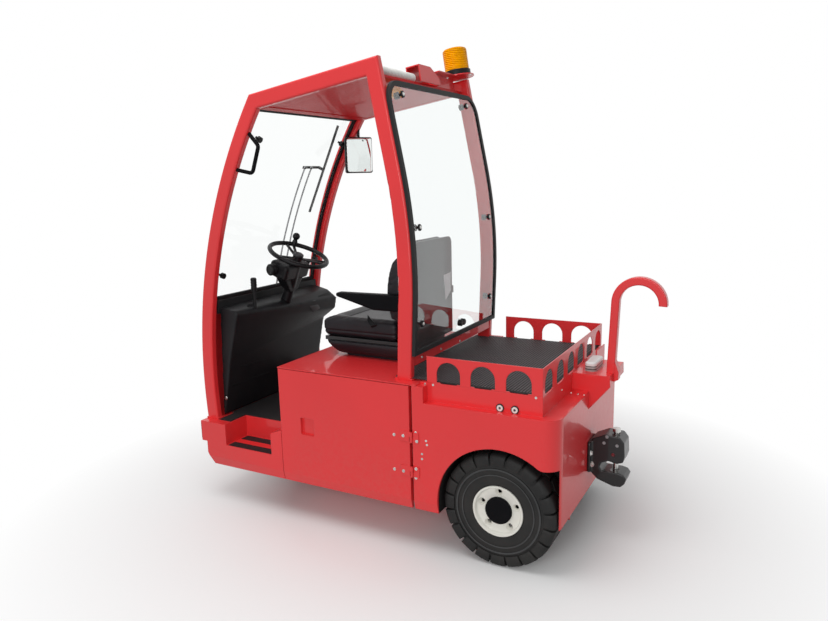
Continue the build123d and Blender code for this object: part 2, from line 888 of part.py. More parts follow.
rear_window()
rear_beam_x = along(rear_foot, rear_knee, rear_beam_low_z)[0]
add("rear_beam", block(rear_beam_x - 35, rear_beam_x + 5, -cab_inner_y, cab_inner_y,
                       rear_beam_low_z, rear_beam_high_z))


def window_knobs():
    """Round clamps of the two windows, on the driver's side of the glass."""
    knobs = Part()
    shaft = Pos(0, 0, 9 + touch_gap) * Cylinder(7, 18)
    knob = Pos(0, 0, 26 + touch_gap) * Cylinder(16, 18)
    for z, front_y in ((1260, 422), (1981, 374)):
        angle = screen_angle(z)
        spot = screen_point(angle, -glass / 2)
        for side in (-1, 1):
            knobs += Pos(spot[0], side * front_y, spot[1]) * Rot(0, -90 - angle, 0) * (shaft + knob)
    back = post_width / 2 + seal_depth / 2 + 1 - glass / 2 - touch_gap
    rear_y = cab_inner_y - seal_width - 22
    for z, knob_y in ((1080, rear_y), (1530, rear_y), (2130, rear_y - 60)):
        spot, heading = rear_spot(z, back)
        lean = math.degrees(math.atan2(heading.X, heading.Z))
        for side in (-1, 1):
            knobs += Pos(spot.X, side * knob_y, z) * Rot(0, 90 + lean, 0) * (shaft + knob)
    return knobs


add("window_knobs", window_knobs())


# Beacon on its bracket
def beacon():
    """Folded bracket on the roof's rear edge, with a round plate under the beacon."""
    rear = -roof_length / 2
    spot = Pos(rear - 13, beacon_y, beacon_seat)
    plate = spot * Pos(0, 0, -3) * Cylinder(beacon_plate_radius, 6)
    width, length, height = hood_size
    middle = Pos(rear + 23, hood_y - length / 2, roof_top + height / 2)
    shell = Box(width, length, height)
    shell -= Pos(0, sheet, -sheet) * Box(width - 2 * sheet, length, height)
    chamfer_line = [(-length / 2 - 1, height / 2 + 1), (-length / 2 - 1, height / 2 - 50),
                    (hood_slope - length / 2, height / 2 + 1)]
    hood = middle * (shell - cross_profile(chamfer_line, -width, width))
    web_y = hood_y - length
    web = Pos(rear + 23, (web_y + beacon_y) / 2, (roof_top + beacon_seat - 6) / 2)
    web *= Box(sheet, web_y - beacon_y, beacon_seat - 6 - roof_top)
    shelf = Pos(rear + 6, (web_y + 20 + beacon_y) / 2, beacon_seat - 3)
    shelf *= Box(70, web_y + 20 - beacon_y, 6)
    add("beacon_bracket", roof_place * (plate + hood + web + shelf))
    base = spot * Pos(0, 0, 15) * Cylinder(beacon_radius + 6, 30)
    add("beacon_base", roof_place * base)
    lens = spot * Pos(0, 0, 30 + 59) * Cylinder(beacon_radius, 118)
    lens = fillet(lens.edges().sort_by(Axis.Z)[-1:], 14)
    add("beacon_lens", roof_place * lens)


def roof_fittings():
    """Ribbed conduit along the roof's rear edge, and the amber lamp below the roof."""
    rear = -roof_length / 2
    right_y = hood_y + 6
    conduit = Pos(rear + 30, (conduit_left_y + right_y) / 2, roof_top + conduit_radius + touch_gap)
    conduit *= Rot(90, 0, 0) * Cylinder(conduit_radius, conduit_left_y - right_y)
    add("roof_conduit", roof_place * conduit)
    under = roof_skin_z - roof_skin / 2
    lamp = Pos(rear + 75, 205, under - 38) * Rot(90, 0, 0) * Cylinder(28, 90)
    lamp += Pos(rear + 75, 168, under - 19) * Box(30, 14, 38)
    add("roof_lamp", roof_place * lamp)


roof_fittings()
beacon()


# Dashboard, column and steering wheel
def dashboard():
    """A moulding from a slim left end to a deep right end, its outlines measured back from the
    dashboard's front and up from the mat."""
    left = [(0, 0), (30, 623), (140, 609), (155, 590), (143, 561), (78, 329), (10, 0)]
    right = [(0, 0), (30, 630), (140, 603), (209, 553), (194, 483), (100, 415), (10, 0)]
    ends = []
    for y, outline in ((dash_half_width, left), (-dash_half_width, right)):
        points = [(dash_front_x - back, floor_z + mat_thickness + up) for back, up in outline]
        ends.append(Plane.XZ.offset(-y) * make_face(Polyline(*points, close=True)))
    return loft(ends, ruled=True)


add("dashboard", dashboard())

column_axis_tilt = Rot(0, -column_tilt, 0)
steering_place = Pos(steering_centre[0], 0, steering_centre[1]) * column_axis_tilt


def column():
    length, width, height = pod_size
    high = -58
    tube = Pos(0, 0, high - 145) * Cylinder(column_radius, 290)
    pod = Pos(35, 0, high - height / 2) * Box(*pod_size)
    pod = fillet(pod.edges(), 20)
    neck = Pos(35, 0, high - height + 20) * Rectangle(length - 40, width - 40)
    foot = Pos(0, 0, high - height - 70) * Rectangle(70, 70)
    pod += loft([neck, foot])
    shaft = Pos(0, 0, -50) * Cylinder(steering_shaft, 40)
    stalk = Pos(35, -width / 2 - 20, high - 30) * Rot(90, 0, 0) * Cylinder(5, 60)
    stalk += Pos(35, -width / 2 - 56, high - 30) * Sphere(14)
    switch = Pos(60, width / 2 + 4, high - 50) * Rot(90, 0, 0) * Cylinder(10, 24)
    return steering_place * (tube + pod + shaft + stalk + switch) - nodes["dashboard"]


add("steering_column", column())


def steering_wheel():
    rim = Torus(steering_wheel_radius - steering_rim, steering_rim)
    hub = Pos(0, 0, -30) * Cylinder(30, 44)
    hub -= Pos(0, 0, -41) * Cylinder(steering_shaft + shaft_clearance, 24)
    wheel = rim + hub
    reach = steering_wheel_radius - steering_rim
    for number in range(3):
        for lean in (-8, 8):
            spoke = Pos(reach / 2, 0, -12) * Rot(0, -8, 0) * Box(reach, 14, 9)
            wheel += Rot(0, 0, 120 * number + spoke_turn + lean) * spoke
    knob = Pos(reach, 0, 0) * Cylinder(8, 60, align=(Align.CENTER, Align.CENTER, Align.MIN))
    knob += Pos(reach, 0, 52) * Sphere(22)
    wheel += Rot(0, 0, steering_knob_turn) * knob
    return steering_place * wheel


add("steering_wheel", steering_wheel())

lever_at = (dash_front_x - 144, 275)
lever_top_z = 1212
lever = post(*lever_at, 9, lever_top_z - 180, lever_top_z)
lever += post(*lever_at, 15, lever_top_z - 60, lever_top_z + 13)

pedal_x = dash_front_x - 100
pedal_z = floor_z + 110
pedals = Part()
for y in (-70, -220):
    pedals += Pos(pedal_x, y, pedal_z) * Rot(0, -35, 0) * Box(12, 80, 110)
    pedals += Pos(pedal_x + 32, y, pedal_z + 40) * Rot(0, 60, 0) * Box(14, 20, 110)
add("driver_controls", (pedals + lever) - nodes["dashboard"])


# Seat
def seat_foot():
    """The sprung base on the seat box, undercut at its front."""
    outline = [
        (seat_rear_x + 30, seat_box_top_z),
        (seat_front_x - 164, seat_box_top_z),
        (seat_front_x - 94, seat_box_top_z + 22),
        (seat_front_x - 48, seat_pan_z - 10),
        (seat_front_x - 48, seat_pan_z),
        (seat_rear_x + 30, seat_pan_z),
    ]
    half = seat_half_width - 24
    return side_profile(outline, -half, half)


def seat_back():
    """Backrest with a flat back and a bowed front, over the cushion's rear edge."""
    back = backrest_x
    front = back + backrest_thickness
    low = cushion_z - 70
    lip = cushion_z + 4
    points = [(front - 21, lip + 12), (back + backrest_foot, lip), (back + backrest_foot, low),
              (back, low), (back, backrest_top_z - 12), (back + 12, backrest_top_z),
              (back + 40, backrest_top_z - 8)]
    bow = ThreePointArc(points[-1], (front, backrest_bow_z), points[0])
    outline = make_face([Polyline(*points), bow])
    face = Plane.XZ.offset(-seat_half_width) * outline
    return extrude(face, 2 * seat_half_width)


seat_pan_z = seat_base_top_z - 20
add("seat_base", seat_foot())
backrest_x = seat_rear_x + seat_plate + touch_gap
cushion = block(backrest_x + backrest_foot + 4, seat_front_x, -seat_half_width,
                seat_half_width, seat_base_top_z + 0.3, cushion_z)
add("seat_cushion", fillet(cushion.edges(), 24))
add("seat_backrest", seat_back())
seat_pan = block(seat_rear_x, seat_front_x - 20, -seat_half_width + 12,
                 seat_half_width - 12, seat_pan_z, seat_base_top_z)
seat_shell = block(seat_rear_x, seat_rear_x + seat_plate, -seat_half_width + 12,
                   seat_half_width - 12, seat_pan_z, backrest_top_z - 16)
seat_pan += fillet(seat_shell.edges().filter_by(Axis.X).group_by(Axis.Z)[-1], 40)

armrest_gap = 8
armrest_width = 55
arm_pivot = (seat_rear_x + 60, armrest_z - 44)
arm_pivot_radius = 10
arm_pivot_depth = 30
arm_ear = 5


def armrest():
    y0 = seat_half_width + armrest_gap
    outline = [
        (arm_pivot[0] - 26, armrest_z),
        (armrest_front_x, armrest_z - 4),
        (armrest_front_x, armrest_z - 24),
        (arm_pivot[0] + 130, armrest_z - 84),
        (arm_pivot[0] - 20, armrest_z - 84),
    ]
    arm = side_profile(outline, y0, y0 + armrest_width)
    arm = fillet(arm.edges(), 9)
    bore = arm_pivot_radius + shaft_clearance
    return arm - rod(arm_pivot[0], arm_pivot[1], bore, y0 - 1, y0 + arm_pivot_depth + 1)


add("armrest_left", armrest())
add("armrest_right", mirrored(nodes["armrest_left"]))
ear_y = seat_half_width + touch_gap
ear_low_z = arm_pivot[1] - 20
ear_high_z = arm_pivot[1] + 20
seat_pan += block(seat_rear_x, seat_rear_x + seat_plate, -ear_y - arm_ear, ear_y + arm_ear,
                  ear_low_z, ear_high_z)
for side in (-1, 1):
    seat_pan += block(seat_rear_x, arm_pivot[0] + 18, side * ear_y, side * (ear_y + arm_ear),
                      ear_low_z, ear_high_z)
    seat_pan += rod(arm_pivot[0], arm_pivot[1], arm_pivot_radius, side * ear_y,
                    side * (seat_half_width + armrest_gap + arm_pivot_depth))
add("seat_pan", seat_pan)


# Grab handle and mirror
def grab_handle():
    high = screen_point(screen_angle(2010), -post_width / 2)
    low = screen_point(screen_angle(1832), -post_width / 2)
    y = cab_half_width - post_thickness / 2
    points = [high, (high[0] - 56, high[1] - 62), (low[0] - 100, low[1] - 20), low]
    path = FilletPolyline(*[on_side(p, y) for p in points], radius=22)
    return lane(path, Circle(10)) - nodes["cab_frame_left"]


add("grab_handle", grab_handle())

mirror_at = (1300, -460, 1900)
mirror_size = (34, 176, 216)
mirror_case = Pos(*mirror_at) * Rot(0, 0, -35) * Box(*mirror_size)
mirror_case = fillet(mirror_case.edges(), 12)
mirror_arm = Pos(mirror_at[0] + 8, mirror_at[1] - 19, mirror_at[2] + mirror_size[2] / 2 - 4)
mirror_arm *= Cylinder(8, 140, align=(Align.CENTER, Align.CENTER, Align.MIN))
add("mirror", (mirror_case + mirror_arm) - nodes["cab_frame_right"])


# Pantograph wiper on the outside of the windscreen, parked at the right
wiper_angle = 25.4
wiper_lean = 4.6
wiper_pivot_angle = 9.0
wiper_pivots_y = (-135, -199)
wiper_arm_offset = 42
wiper_arm_thickness = 5
wiper_blade_y = -350
wiper_blade_length = 570
wiper_pin = 4
wiper_open_play = 1.2
wiper_gap = 5
wiper_boss_radius = 13
wiper_facing = Rot(0, 90 - wiper_angle, 0)


def wiper_shaft(y):
    """Where an arm's shaft meets the arm, facing along the shaft."""
    spot = screen_point(wiper_pivot_angle, wiper_arm_offset)
    return Pos(spot[0], y, spot[1]) * wiper_facing


def wiper_top(y):
    """Where an arm carries the link at rest, facing along the shafts."""
    low = wiper_shaft(y)
    spot = screen_point(wiper_angle, wiper_arm_offset)
    high = Pos(spot[0], y, spot[1]) * wiper_facing
    return low * Rot(0, 0, wiper_lean) * low.inverse() * high


def wiper_arm(y, hole):
    """One arm, curved with the glass, from its shaft to the link above."""
    path = screen_arc(wiper_pivot_angle, wiper_angle, wiper_arm_offset)
    arm = Pos(0, y, 0) * lane(path, Rectangle(9, wiper_arm_thickness))
    low = wiper_shaft(y)
    arm += low * Cylinder(wiper_boss_radius, wiper_arm_thickness + 4)
    arm = low * Rot(0, 0, wiper_lean) * low.inverse() * arm
    arm += low * Pos(0, 0, -20) * Cylinder(wiper_pin, 40)
    high = wiper_top(y)
    arm += high * Cylinder(10, wiper_arm_thickness)
    arm -= high * Cylinder(hole, 30)
    return arm


def wiper_blade():
    """Blade on the link that both arms carry, straight and level with the glass."""
    top = wiper_top(wiper_pivots_y[0])
    spread = wiper_pivots_y[1] - wiper_pivots_y[0]
    over = wiper_blade_y - top.position.Y
    sole = wiper_arm_thickness / 2 + wiper_gap
    turn = Rot(0, 0, -wiper_lean)
    blade_low = 10 - wiper_arm_offset
    link = Pos(0, over / 2, sole + 2) * Box(16, abs(over) + 16, 4)
    link += Pos(0, over, (sole + 4 + blade_low) / 2) * Box(16, 12, sole + 4 - blade_low)
    link += Pos(0, over, blade_low + 5) * Box(wiper_blade_length, 12, 10)
    for y in (0, spread):
        link += Pos(0, y, sole / 2 - 3) * Cylinder(wiper_pin, sole + 8)
    return top * turn * link


def wiper_bosses():
    bosses = Part()
    for y in wiper_pivots_y:
        down = wiper_arm_thickness / 2 + 2 + 0.5
        boss = Pos(0, 0, -down - 20) * Cylinder(wiper_boss_radius, 40)
        boss -= Cylinder(wiper_pin + shaft_clearance, 200)
        bosses += wiper_shaft(y) * boss
    return bosses - lane(screen_arc(beam_high_angle - 3, beam_high_angle + 3,
                                    touch_gap - beam_depth / 2),
                         Rectangle(2 * cab_inner_y, 2 * beam_depth))


add("wiper_arm_main", wiper_arm(wiper_pivots_y[0], wiper_pin + shaft_clearance))
add("wiper_arm_second", wiper_arm(wiper_pivots_y[1], wiper_pin + wiper_open_play))
add("wiper_blade", wiper_blade())
add("wiper_bosses", wiper_bosses())
for y in wiper_pivots_y:
    nodes["front_panel"] -= wiper_shaft(y) * Cylinder(wiper_pin + shaft_clearance, 90)

front_end = nodes["bumper_rubber"].bounding_box().max.X
rear_end = nodes["lifting_hook"].bounding_box().min.X
origin_x = (front_end + rear_end) / 2
order = sorted(nodes)
os.makedirs("parts", exist_ok=True)
for name in order:
    piece = Pos(-origin_x, 0, 0) * nodes[name]
    export_step(piece, "parts/" + name + ".step")
print(len(order), "nodes, origin", round(origin_x, 2))
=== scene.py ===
# %% [markdown]
# # An airport baggage tug
#
# A small electric tractor: one steered wheel in front, two driven wheels behind, a cab with no
# doors, and a load deck with a low rail. Nearly all of it is painted sheet steel, so the packed
# solids already carry the shape. This lesson dresses them: paint, rubber, glass and vinyl as
# node materials, and the small things that repeat, such as tread blocks and screws, from
# Geometry Nodes trees.
#
# Everything is in metres, X forward, Y to the driver's left, Z up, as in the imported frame.

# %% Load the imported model
import json
import math
import bmesh
import bpy
from mathutils import Matrix, Vector
from mathutils.bvhtree import BVHTree

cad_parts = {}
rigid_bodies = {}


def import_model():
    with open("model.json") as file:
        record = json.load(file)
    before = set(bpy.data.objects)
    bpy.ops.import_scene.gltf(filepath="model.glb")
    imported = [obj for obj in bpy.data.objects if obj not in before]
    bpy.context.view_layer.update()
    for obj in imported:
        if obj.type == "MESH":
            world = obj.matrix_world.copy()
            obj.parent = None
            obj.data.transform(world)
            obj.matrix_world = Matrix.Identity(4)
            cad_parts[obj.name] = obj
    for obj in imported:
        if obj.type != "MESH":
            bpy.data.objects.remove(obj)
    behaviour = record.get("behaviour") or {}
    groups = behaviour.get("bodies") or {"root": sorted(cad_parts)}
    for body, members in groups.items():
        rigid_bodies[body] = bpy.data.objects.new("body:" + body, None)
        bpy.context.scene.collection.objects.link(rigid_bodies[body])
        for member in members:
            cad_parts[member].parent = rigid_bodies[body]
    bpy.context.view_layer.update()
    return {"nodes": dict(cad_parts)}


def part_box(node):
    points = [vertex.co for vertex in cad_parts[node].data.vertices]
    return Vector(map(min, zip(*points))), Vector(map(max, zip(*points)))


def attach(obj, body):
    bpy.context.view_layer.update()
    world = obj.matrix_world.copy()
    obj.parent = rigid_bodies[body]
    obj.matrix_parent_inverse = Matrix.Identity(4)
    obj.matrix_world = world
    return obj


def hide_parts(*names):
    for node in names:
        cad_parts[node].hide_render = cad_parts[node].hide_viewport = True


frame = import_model()
nodes = frame["nodes"]
scene = bpy.context.scene

# %% [markdown]
# ## The camera
#
# The photograph was taken from the tug's rear left, at about the height of a standing person's
# eyes. Its place comes from the vanishing lines of the deck, the sills and the posts. Yaw is
# the direction it looks in seen from above, pitch is how far it looks down, and roll is how
# far the horizon leans.

# %% Camera
photo_width, photo_height = 828, 621
focal_pixels = 702.1
rear_axle_x = (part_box("rear_left_tyre")[0].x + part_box("rear_left_tyre")[1].x) / 2


def from_axle(x, y, z):
    """A point given in millimetres from the rear axle, in the frame's metres."""
    return Vector((rear_axle_x + x / 1000, y / 1000, z / 1000))


def make_camera():
    yaw, pitch, roll = (math.radians(a) for a in (-61.35, -10.66, -1.41))
    look = Vector((math.cos(yaw) * math.cos(pitch), math.sin(yaw) * math.cos(pitch), math.sin(pitch)))
    right = look.cross(Vector((0, 0, 1))).normalized()
    up = right.cross(look)
    side = math.cos(roll) * right + math.sin(roll) * up
    top = -math.sin(roll) * right + math.cos(roll) * up
    data = bpy.data.cameras.new("camera")
    data.sensor_width = 36
    data.lens = focal_pixels / photo_width * data.sensor_width
    camera = bpy.data.objects.new("camera", data)
    scene.collection.objects.link(camera)
    turn = Matrix((side, top, -look)).transposed().to_4x4()
    standpoint = from_axle(-1097, 3266, 1752)
    camera.matrix_world = Matrix.Translation(standpoint) @ turn
    scene.camera = camera
    print("camera at", [round(v, 3) for v in camera.location])


make_camera()

# %% [markdown]
# ## Writing a material as sums
#
# A material is a graph of nodes, and a graph is tedious to write line by line. A small class
# wraps a socket, so that `0.3 + 0.2 * cloud` adds the Math nodes by itself. Every other node
# comes from one method, which takes the node's type, its settings and what its sockets hold.

# %% A socket that can be used in sums
class Wire:
    def __init__(self, finish, socket):
        self.finish, self.socket = finish, socket

    def math(self, operation, a, b=0.0):
        return self.finish.node("Math", {"operation": operation}, {0: a, 1: b})

    def __add__(self, other):
        return self.math("ADD", self, other)

    def __sub__(self, other):
        return self.math("SUBTRACT", self, other)

    def __mul__(self, other):
        return self.math("MULTIPLY", self, other)

    def __rsub__(self, other):
        return self.math("SUBTRACT", other, self)

    __radd__ = __add__
    __rmul__ = __mul__

    def above(self, low, high):
        """0 below low, 1 above high, and a straight ramp between."""
        settings = {"interpolation_type": "LINEAR"}
        return self.finish.node("MapRange", settings, {"Value": self, "From Min": low, "From Max": high})

    def power(self, exponent):
        return self.math("POWER", self, exponent)

    def size(self):
        return self.math("ABSOLUTE", self)


# %% A material with its shader
finishes = {}


class Finish:
    def __init__(self, name, **constants):
        self.material = bpy.data.materials.new(name + "_finish")
        finishes[name] = self.material
        self.material.use_nodes = True
        self.tree = self.material.node_tree
        self.shader = self.tree.nodes["Principled BSDF"]
        self.output = self.tree.nodes["Material Output"]
        self.set(**constants)

    def feed(self, socket, value):
        if isinstance(value, Wire):
            self.tree.links.new(value.socket, socket)
        elif hasattr(socket.default_value, "__len__") and len(value) == 3 and socket.type == "RGBA":
            socket.default_value = (*value, 1)
        else:
            socket.default_value = value

    def node(self, kind, settings=None, inputs=None, out=0):
        made = self.tree.nodes.new("ShaderNode" + kind)
        for key, value in (settings or {}).items():
            if key == "stops":
                while len(made.color_ramp.elements) < len(value):
                    made.color_ramp.elements.new(0.5)
                for element, (place, colour) in zip(made.color_ramp.elements, value):
                    element.position = place
                    element.color = (*colour, 1)
            else:
                setattr(made, key, value)
        for key, value in (inputs or {}).items():
            self.feed(made.inputs[key], value)
        return Wire(self, made.outputs[out])

    def set(self, **values):
        for key, value in values.items():
            self.feed(self.shader.inputs[key.replace("_", " ")], value)

    def place(self):
        return self.node("TexCoord", out="Object")

    def noise(self, where, scale, detail=2.0, roughness=0.5):
        inputs = {"Vector": where, "Scale": scale, "Detail": detail, "Roughness": roughness}
        return self.node("TexNoise", None, inputs)

    def cells(self, where, scale):
        return self.node("TexVoronoi", None, {"Vector": where, "Scale": scale})

    def part(self, where, number):
        """One coordinate of a place: 0 along, 1 across, 2 up."""
        return self.node("SeparateXYZ", None, {0: where}, out=number)

    def height(self, where):
        return self.part(where, 2)

    def mix(self, share, a, b):
        return self.node("Mix", {"data_type": "RGBA"}, {0: share, 6: a, 7: b}, out=2)

    def worn_edge(self, radius):
        """The surface's direction with its edges rounded by a radius."""
        return self.node("Bevel", {"samples": 4}, {"Radius": radius})

    def bump(self, height, distance, strength, soft=None):
        inputs = {"Height": height, "Distance": distance, "Strength": strength}
        if soft:
            inputs["Normal"] = soft
        self.set(Normal=self.node("Bump", None, inputs))


print("helpers ready")

# %% [markdown]
# ## Paint
#
# The body has a deep, wet looking red enamel. Under a clear coat the pigment hardly varies, so
# what tells the eye that it is paint is the coat: a sharp reflection, broken by the faint
# ripple that sprayers call orange peel. A thin film of dust dulls it near the ground.

# %% Enamels
def enamel(name, colour, dusty, ripple=0.00012, dust_top=0.75, coat=0.5, bend=1.3, well=None):
    """Paint, dusty up to a height. Inside a wheel well it is painted near-black as painted shade."""
    finish = Finish(name, Coat_Roughness=0.04, Coat_IOR=1.45, IOR=bend)
    where = finish.place()
    cloud = finish.noise(where, 2.2, 3.0)
    grit = finish.noise(where, 55.0, 4.0, 0.65)
    low = 1 - finish.height(where).above(0.05, dust_top)
    dust = (low * cloud.above(0.35, 0.8) * grit.above(0.3, 0.75)) * 0.35
    tone = finish.mix(cloud.above(0.3, 0.7), colour, [c * 0.93 for c in colour])
    paint = finish.mix(dust, tone, dusty)
    if well:
        axle_x, axle_z, radius, half_width, back = well
        blend = 0.004
        x, y, z = (finish.part(where, k) for k in range(3))
        reach = ((x - axle_x) * (x - axle_x) + (z - axle_z) * (z - axle_z)).power(0.5)
        # The paint turns near-black inside the wheel well: painted shade under the arch.
        shaded_in_well = 1 - reach.above(radius, radius + blend)
        shaded_in_well = shaded_in_well * (1 - y.size().above(half_width - blend, half_width))
        shaded_in_well = shaded_in_well * x.above(back, back + blend)
        paint = finish.mix(shaded_in_well, paint, well_painted_black)
        finish.set(Coat_Weight=(coat - 0.6 * dust) * (1 - shaded_in_well))
        finish.set(Roughness=0.3 + 0.16 * grit + 0.2 * dust + 0.4 * shaded_in_well)
    else:
        finish.set(Coat_Weight=coat - 0.6 * dust)
        finish.set(Roughness=0.3 + 0.16 * grit + 0.2 * dust)
    finish.set(Base_Color=paint)
    finish.bump(finish.noise(where, 260.0, 1.0), ripple, 0.5, finish.worn_edge(pressed_edge))
    return finish.material


# Near-black painted inside the wheel wells as painted shade.
well_painted_black = (0.012, 0.011, 0.011)
pressed_edge = 0.006
body_red, red_dust = (0.80, 0.032, 0.036), (0.45, 0.20, 0.17)
enamel("red_enamel", body_red, red_dust)
enamel("cream_enamel", (0.84, 0.83, 0.76), (0.35, 0.30, 0.24), dust_top=0.5)
black_enamel = enamel("black_enamel", (0.009, 0.009, 0.010), (0.05, 0.045, 0.04), 0.0003)
wheel_axle = (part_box("rear_left_tyre")[0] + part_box("rear_left_tyre")[1]) / 2
well_radius, well_half_width = 0.325, 0.538
well_back_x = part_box("rear_body")[0].x + 0.008
wheel_well = (wheel_axle.x, wheel_axle.z, well_radius, well_half_width, well_back_x)
enamel("body_enamel", body_red, red_dust, well=wheel_well)
dark_enamel = enamel("dark_enamel", (0.16, 0.006, 0.012), (0.10, 0.04, 0.04))
# The roof wears a darker copy of the body's red with a thinner coat: painted shade for its underside.
enamel("ceiling_enamel", (0.70, 0.018, 0.022), red_dust, coat=0.1, bend=1.12)
print("enamels ready")

# %% [markdown]
# ## Rubber, plastic and vinyl
#
# All three are nearly black, and differ in how they break up light. Moulded plastic has a
# fine pebble grain, vinyl has larger soft cells like leather, and rubber is matt with a grey
# bloom. Each grain is a bump from a cell or noise pattern at its real size. On plastic and
# vinyl the same pattern moves the roughness, because hands polish the raised spots first.

# %% Black finishes
def pebbled(name, colour, scale, depth, rough, bloom=0.12, edge=0.004, bend=1.27):
    """Moulded plastic or vinyl: a cell grain, with a bloom that makes it uneven."""
    finish = Finish(name, IOR=bend)
    where = finish.place()
    pebbles = finish.cells(where, scale)
    cloud = finish.noise(where, 5.0, 4.0)
    lighter = [c + 0.008 * bloom / 0.12 for c in colour]
    finish.set(Base_Color=finish.mix(cloud.above(0.35, 0.8), colour, lighter))
    finish.set(Roughness=rough + bloom * cloud - 0.1 * pebbles)
    finish.bump(pebbles, depth, 0.6, finish.worn_edge(edge))
    return finish.material


def rubber(name, colour, dusty, rough, dust_share=0.5):
    """Matt rubber with a fine grit, and a dusty bloom over a share of it."""
    finish = Finish(name, IOR=1.3)
    where = finish.place()
    cloud = finish.noise(where, 7.0, 5.0, 0.6)
    grit = finish.noise(where, 320.0, 2.0)
    share = cloud.above(0.42, 0.78) * dust_share
    finish.set(Base_Color=finish.mix(share, colour, dusty))
    finish.set(Roughness=rough + 0.15 * cloud)
    finish.bump(grit, 0.0004, 0.5)
    return finish.material


black_plastic = pebbled("black_plastic", (0.006, 0.006, 0.007), 900.0, 0.0002, 0.42, 0.06)
dull_plastic = pebbled("dull_plastic", (0.004, 0.004, 0.005), 900.0, 0.0002, 0.5, 0.04, 0.004, 1.13)
dash_plastic = pebbled("dash_plastic", (0.008, 0.008, 0.0095), 620.0, 0.0003, 0.44, 0.12, 0.012)
seat_vinyl = pebbled("seat_vinyl", (0.014, 0.012, 0.015), 480.0, 0.0003, 0.34, 0.16)
tyre_rubber = rubber("tyre_rubber", (0.016, 0.016, 0.016), (0.042, 0.039, 0.036), 0.52)
# Paler grey for the tyres' raised rings: a painted highlight.
scuffed_rubber = rubber("scuffed_rubber", (0.042, 0.043, 0.044), (0.095, 0.096, 0.097), 0.42)
seal_rubber = rubber("seal_rubber", (0.012, 0.012, 0.013), (0.03, 0.03, 0.03), 0.5, 0.3)
rubber("mat_rubber", (0.016, 0.015, 0.016), (0.035, 0.032, 0.03), 0.55)


def ribbed(name, top):
    """The deck mat's rubber: pale on the ribs and dark between them, a painted shade in the grooves."""
    finish = Finish(name, Roughness=0.6, IOR=1.3)
    where = finish.place()
    cloud = finish.noise(where, 9.0, 4.0)
    # Dark between the ribs and pale on their tops: painted shade in the grooves.
    rib_top_share = finish.height(where).above(top + 0.0002, top + 0.0018) * (0.7 + 0.5 * cloud)
    finish.set(Base_Color=finish.mix(rib_top_share, (0.010, 0.009, 0.009), (0.085, 0.075, 0.078)))
    finish.bump(finish.noise(where, 400.0, 2.0), 0.0003, 0.5)
    return finish.material


ribbed_rubber = ribbed("ribbed_rubber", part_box("deck_mat")[1].z)
print("black finishes ready")

# %% [markdown]
# ## Glass, lenses and bare metal
#
# The windows are thin closed sheets, so a transmitting shader bends light in and out again as
# a pane does. The beacon's amber dome is moulded with fine level rings that spread the flash,
# and the headlamps' glasses with upright ribs. Both are a sine wave that feeds a bump.

# %% Clear finishes and metal
def pane(name, tint, bend):
    """Clear glass of a tint, with smears that blur it a little."""
    finish = Finish(name, Base_Color=tint, IOR=bend, Transmission_Weight=1.0)
    where = finish.place()
    finish.set(Roughness=0.015 * finish.noise(where, 3.0, 3.0))
    return finish.material


def lens(name, colour, clear, rough=0.12, glow=0.0, pitch=0.0, axis=2, bend=1.33):
    """A lamp's cover. With a pitch it is ribbed: axis 2 gives level rings, axis 1 upright ribs. Its glow
    is painted light.
    """
    finish = Finish(name, IOR=bend, Transmission_Weight=clear, Emission_Strength=glow)
    where = finish.place()
    cloud = finish.noise(where, 40.0, 2.0)
    finish.set(Base_Color=finish.mix(cloud.above(0.3, 0.7), colour, [c * 0.85 for c in colour]))
    finish.set(Emission_Color=finish.mix(cloud.above(0.3, 0.7), colour, [c * 0.8 for c in colour]))
    finish.set(Roughness=rough + 0.1 * cloud)
    if pitch:
        wave = finish.part(where, axis) * (2 * math.pi / pitch)
        finish.bump(wave.math("SINE", wave), 0.002, 0.9)
    return finish.material


def metal(name, colour, rough, scratch=0.2, tarnish=0.7):
    """Bare metal, darker in clouds and rougher along fine streaks."""
    finish = Finish(name, Metallic=1.0)
    where = finish.place()
    stretched = finish.node("Mapping", None, {"Vector": where, "Scale": (30, 30, 900)})
    streaks = finish.noise(stretched, 1.0, 3.0)
    cloud = finish.noise(where, 30.0, 4.0)
    finish.set(Base_Color=finish.mix(cloud.above(0.35, 0.8), colour, [c * tarnish for c in colour]))
    finish.set(Roughness=rough + scratch * streaks * cloud)
    return finish.material


pane("rear_glass", (0.93, 0.96, 0.955), 1.48)
pane("front_glass", (0.97, 0.985, 0.98), 1.16)
# The amber lens is given a faint glow: painted light that brightens the beacon and the roof lamp.
lens("amber_lens", (0.92, 0.36, 0.0), 0.0, 0.16, 0.12, 0.0095, 2, 1.12)
lens("clear_lens", (0.78, 0.79, 0.78), 0.4)
ribbed_lens = lens("ribbed_lens", (0.82, 0.85, 0.86), 0.2, 0.05, 0.0, 0.008, 1, 1.45)
white_plastic = lens("white_plastic", (0.85, 0.85, 0.82), 0.0, 0.3)


def painted_reflection_bands(name, bands):
    """A lamp's painted reflection in layers, from its foot up: (height, colour) pairs."""
    finish = Finish(name, Roughness=0.18, IOR=1.45)
    height = finish.height(finish.place())
    colour = bands[0][1]
    blur = 0.0005
    for level, paint in bands[1:]:
        colour = finish.mix(height.above(level - blur, level + blur), colour, paint)
    finish.set(Base_Color=colour)
    return finish.material


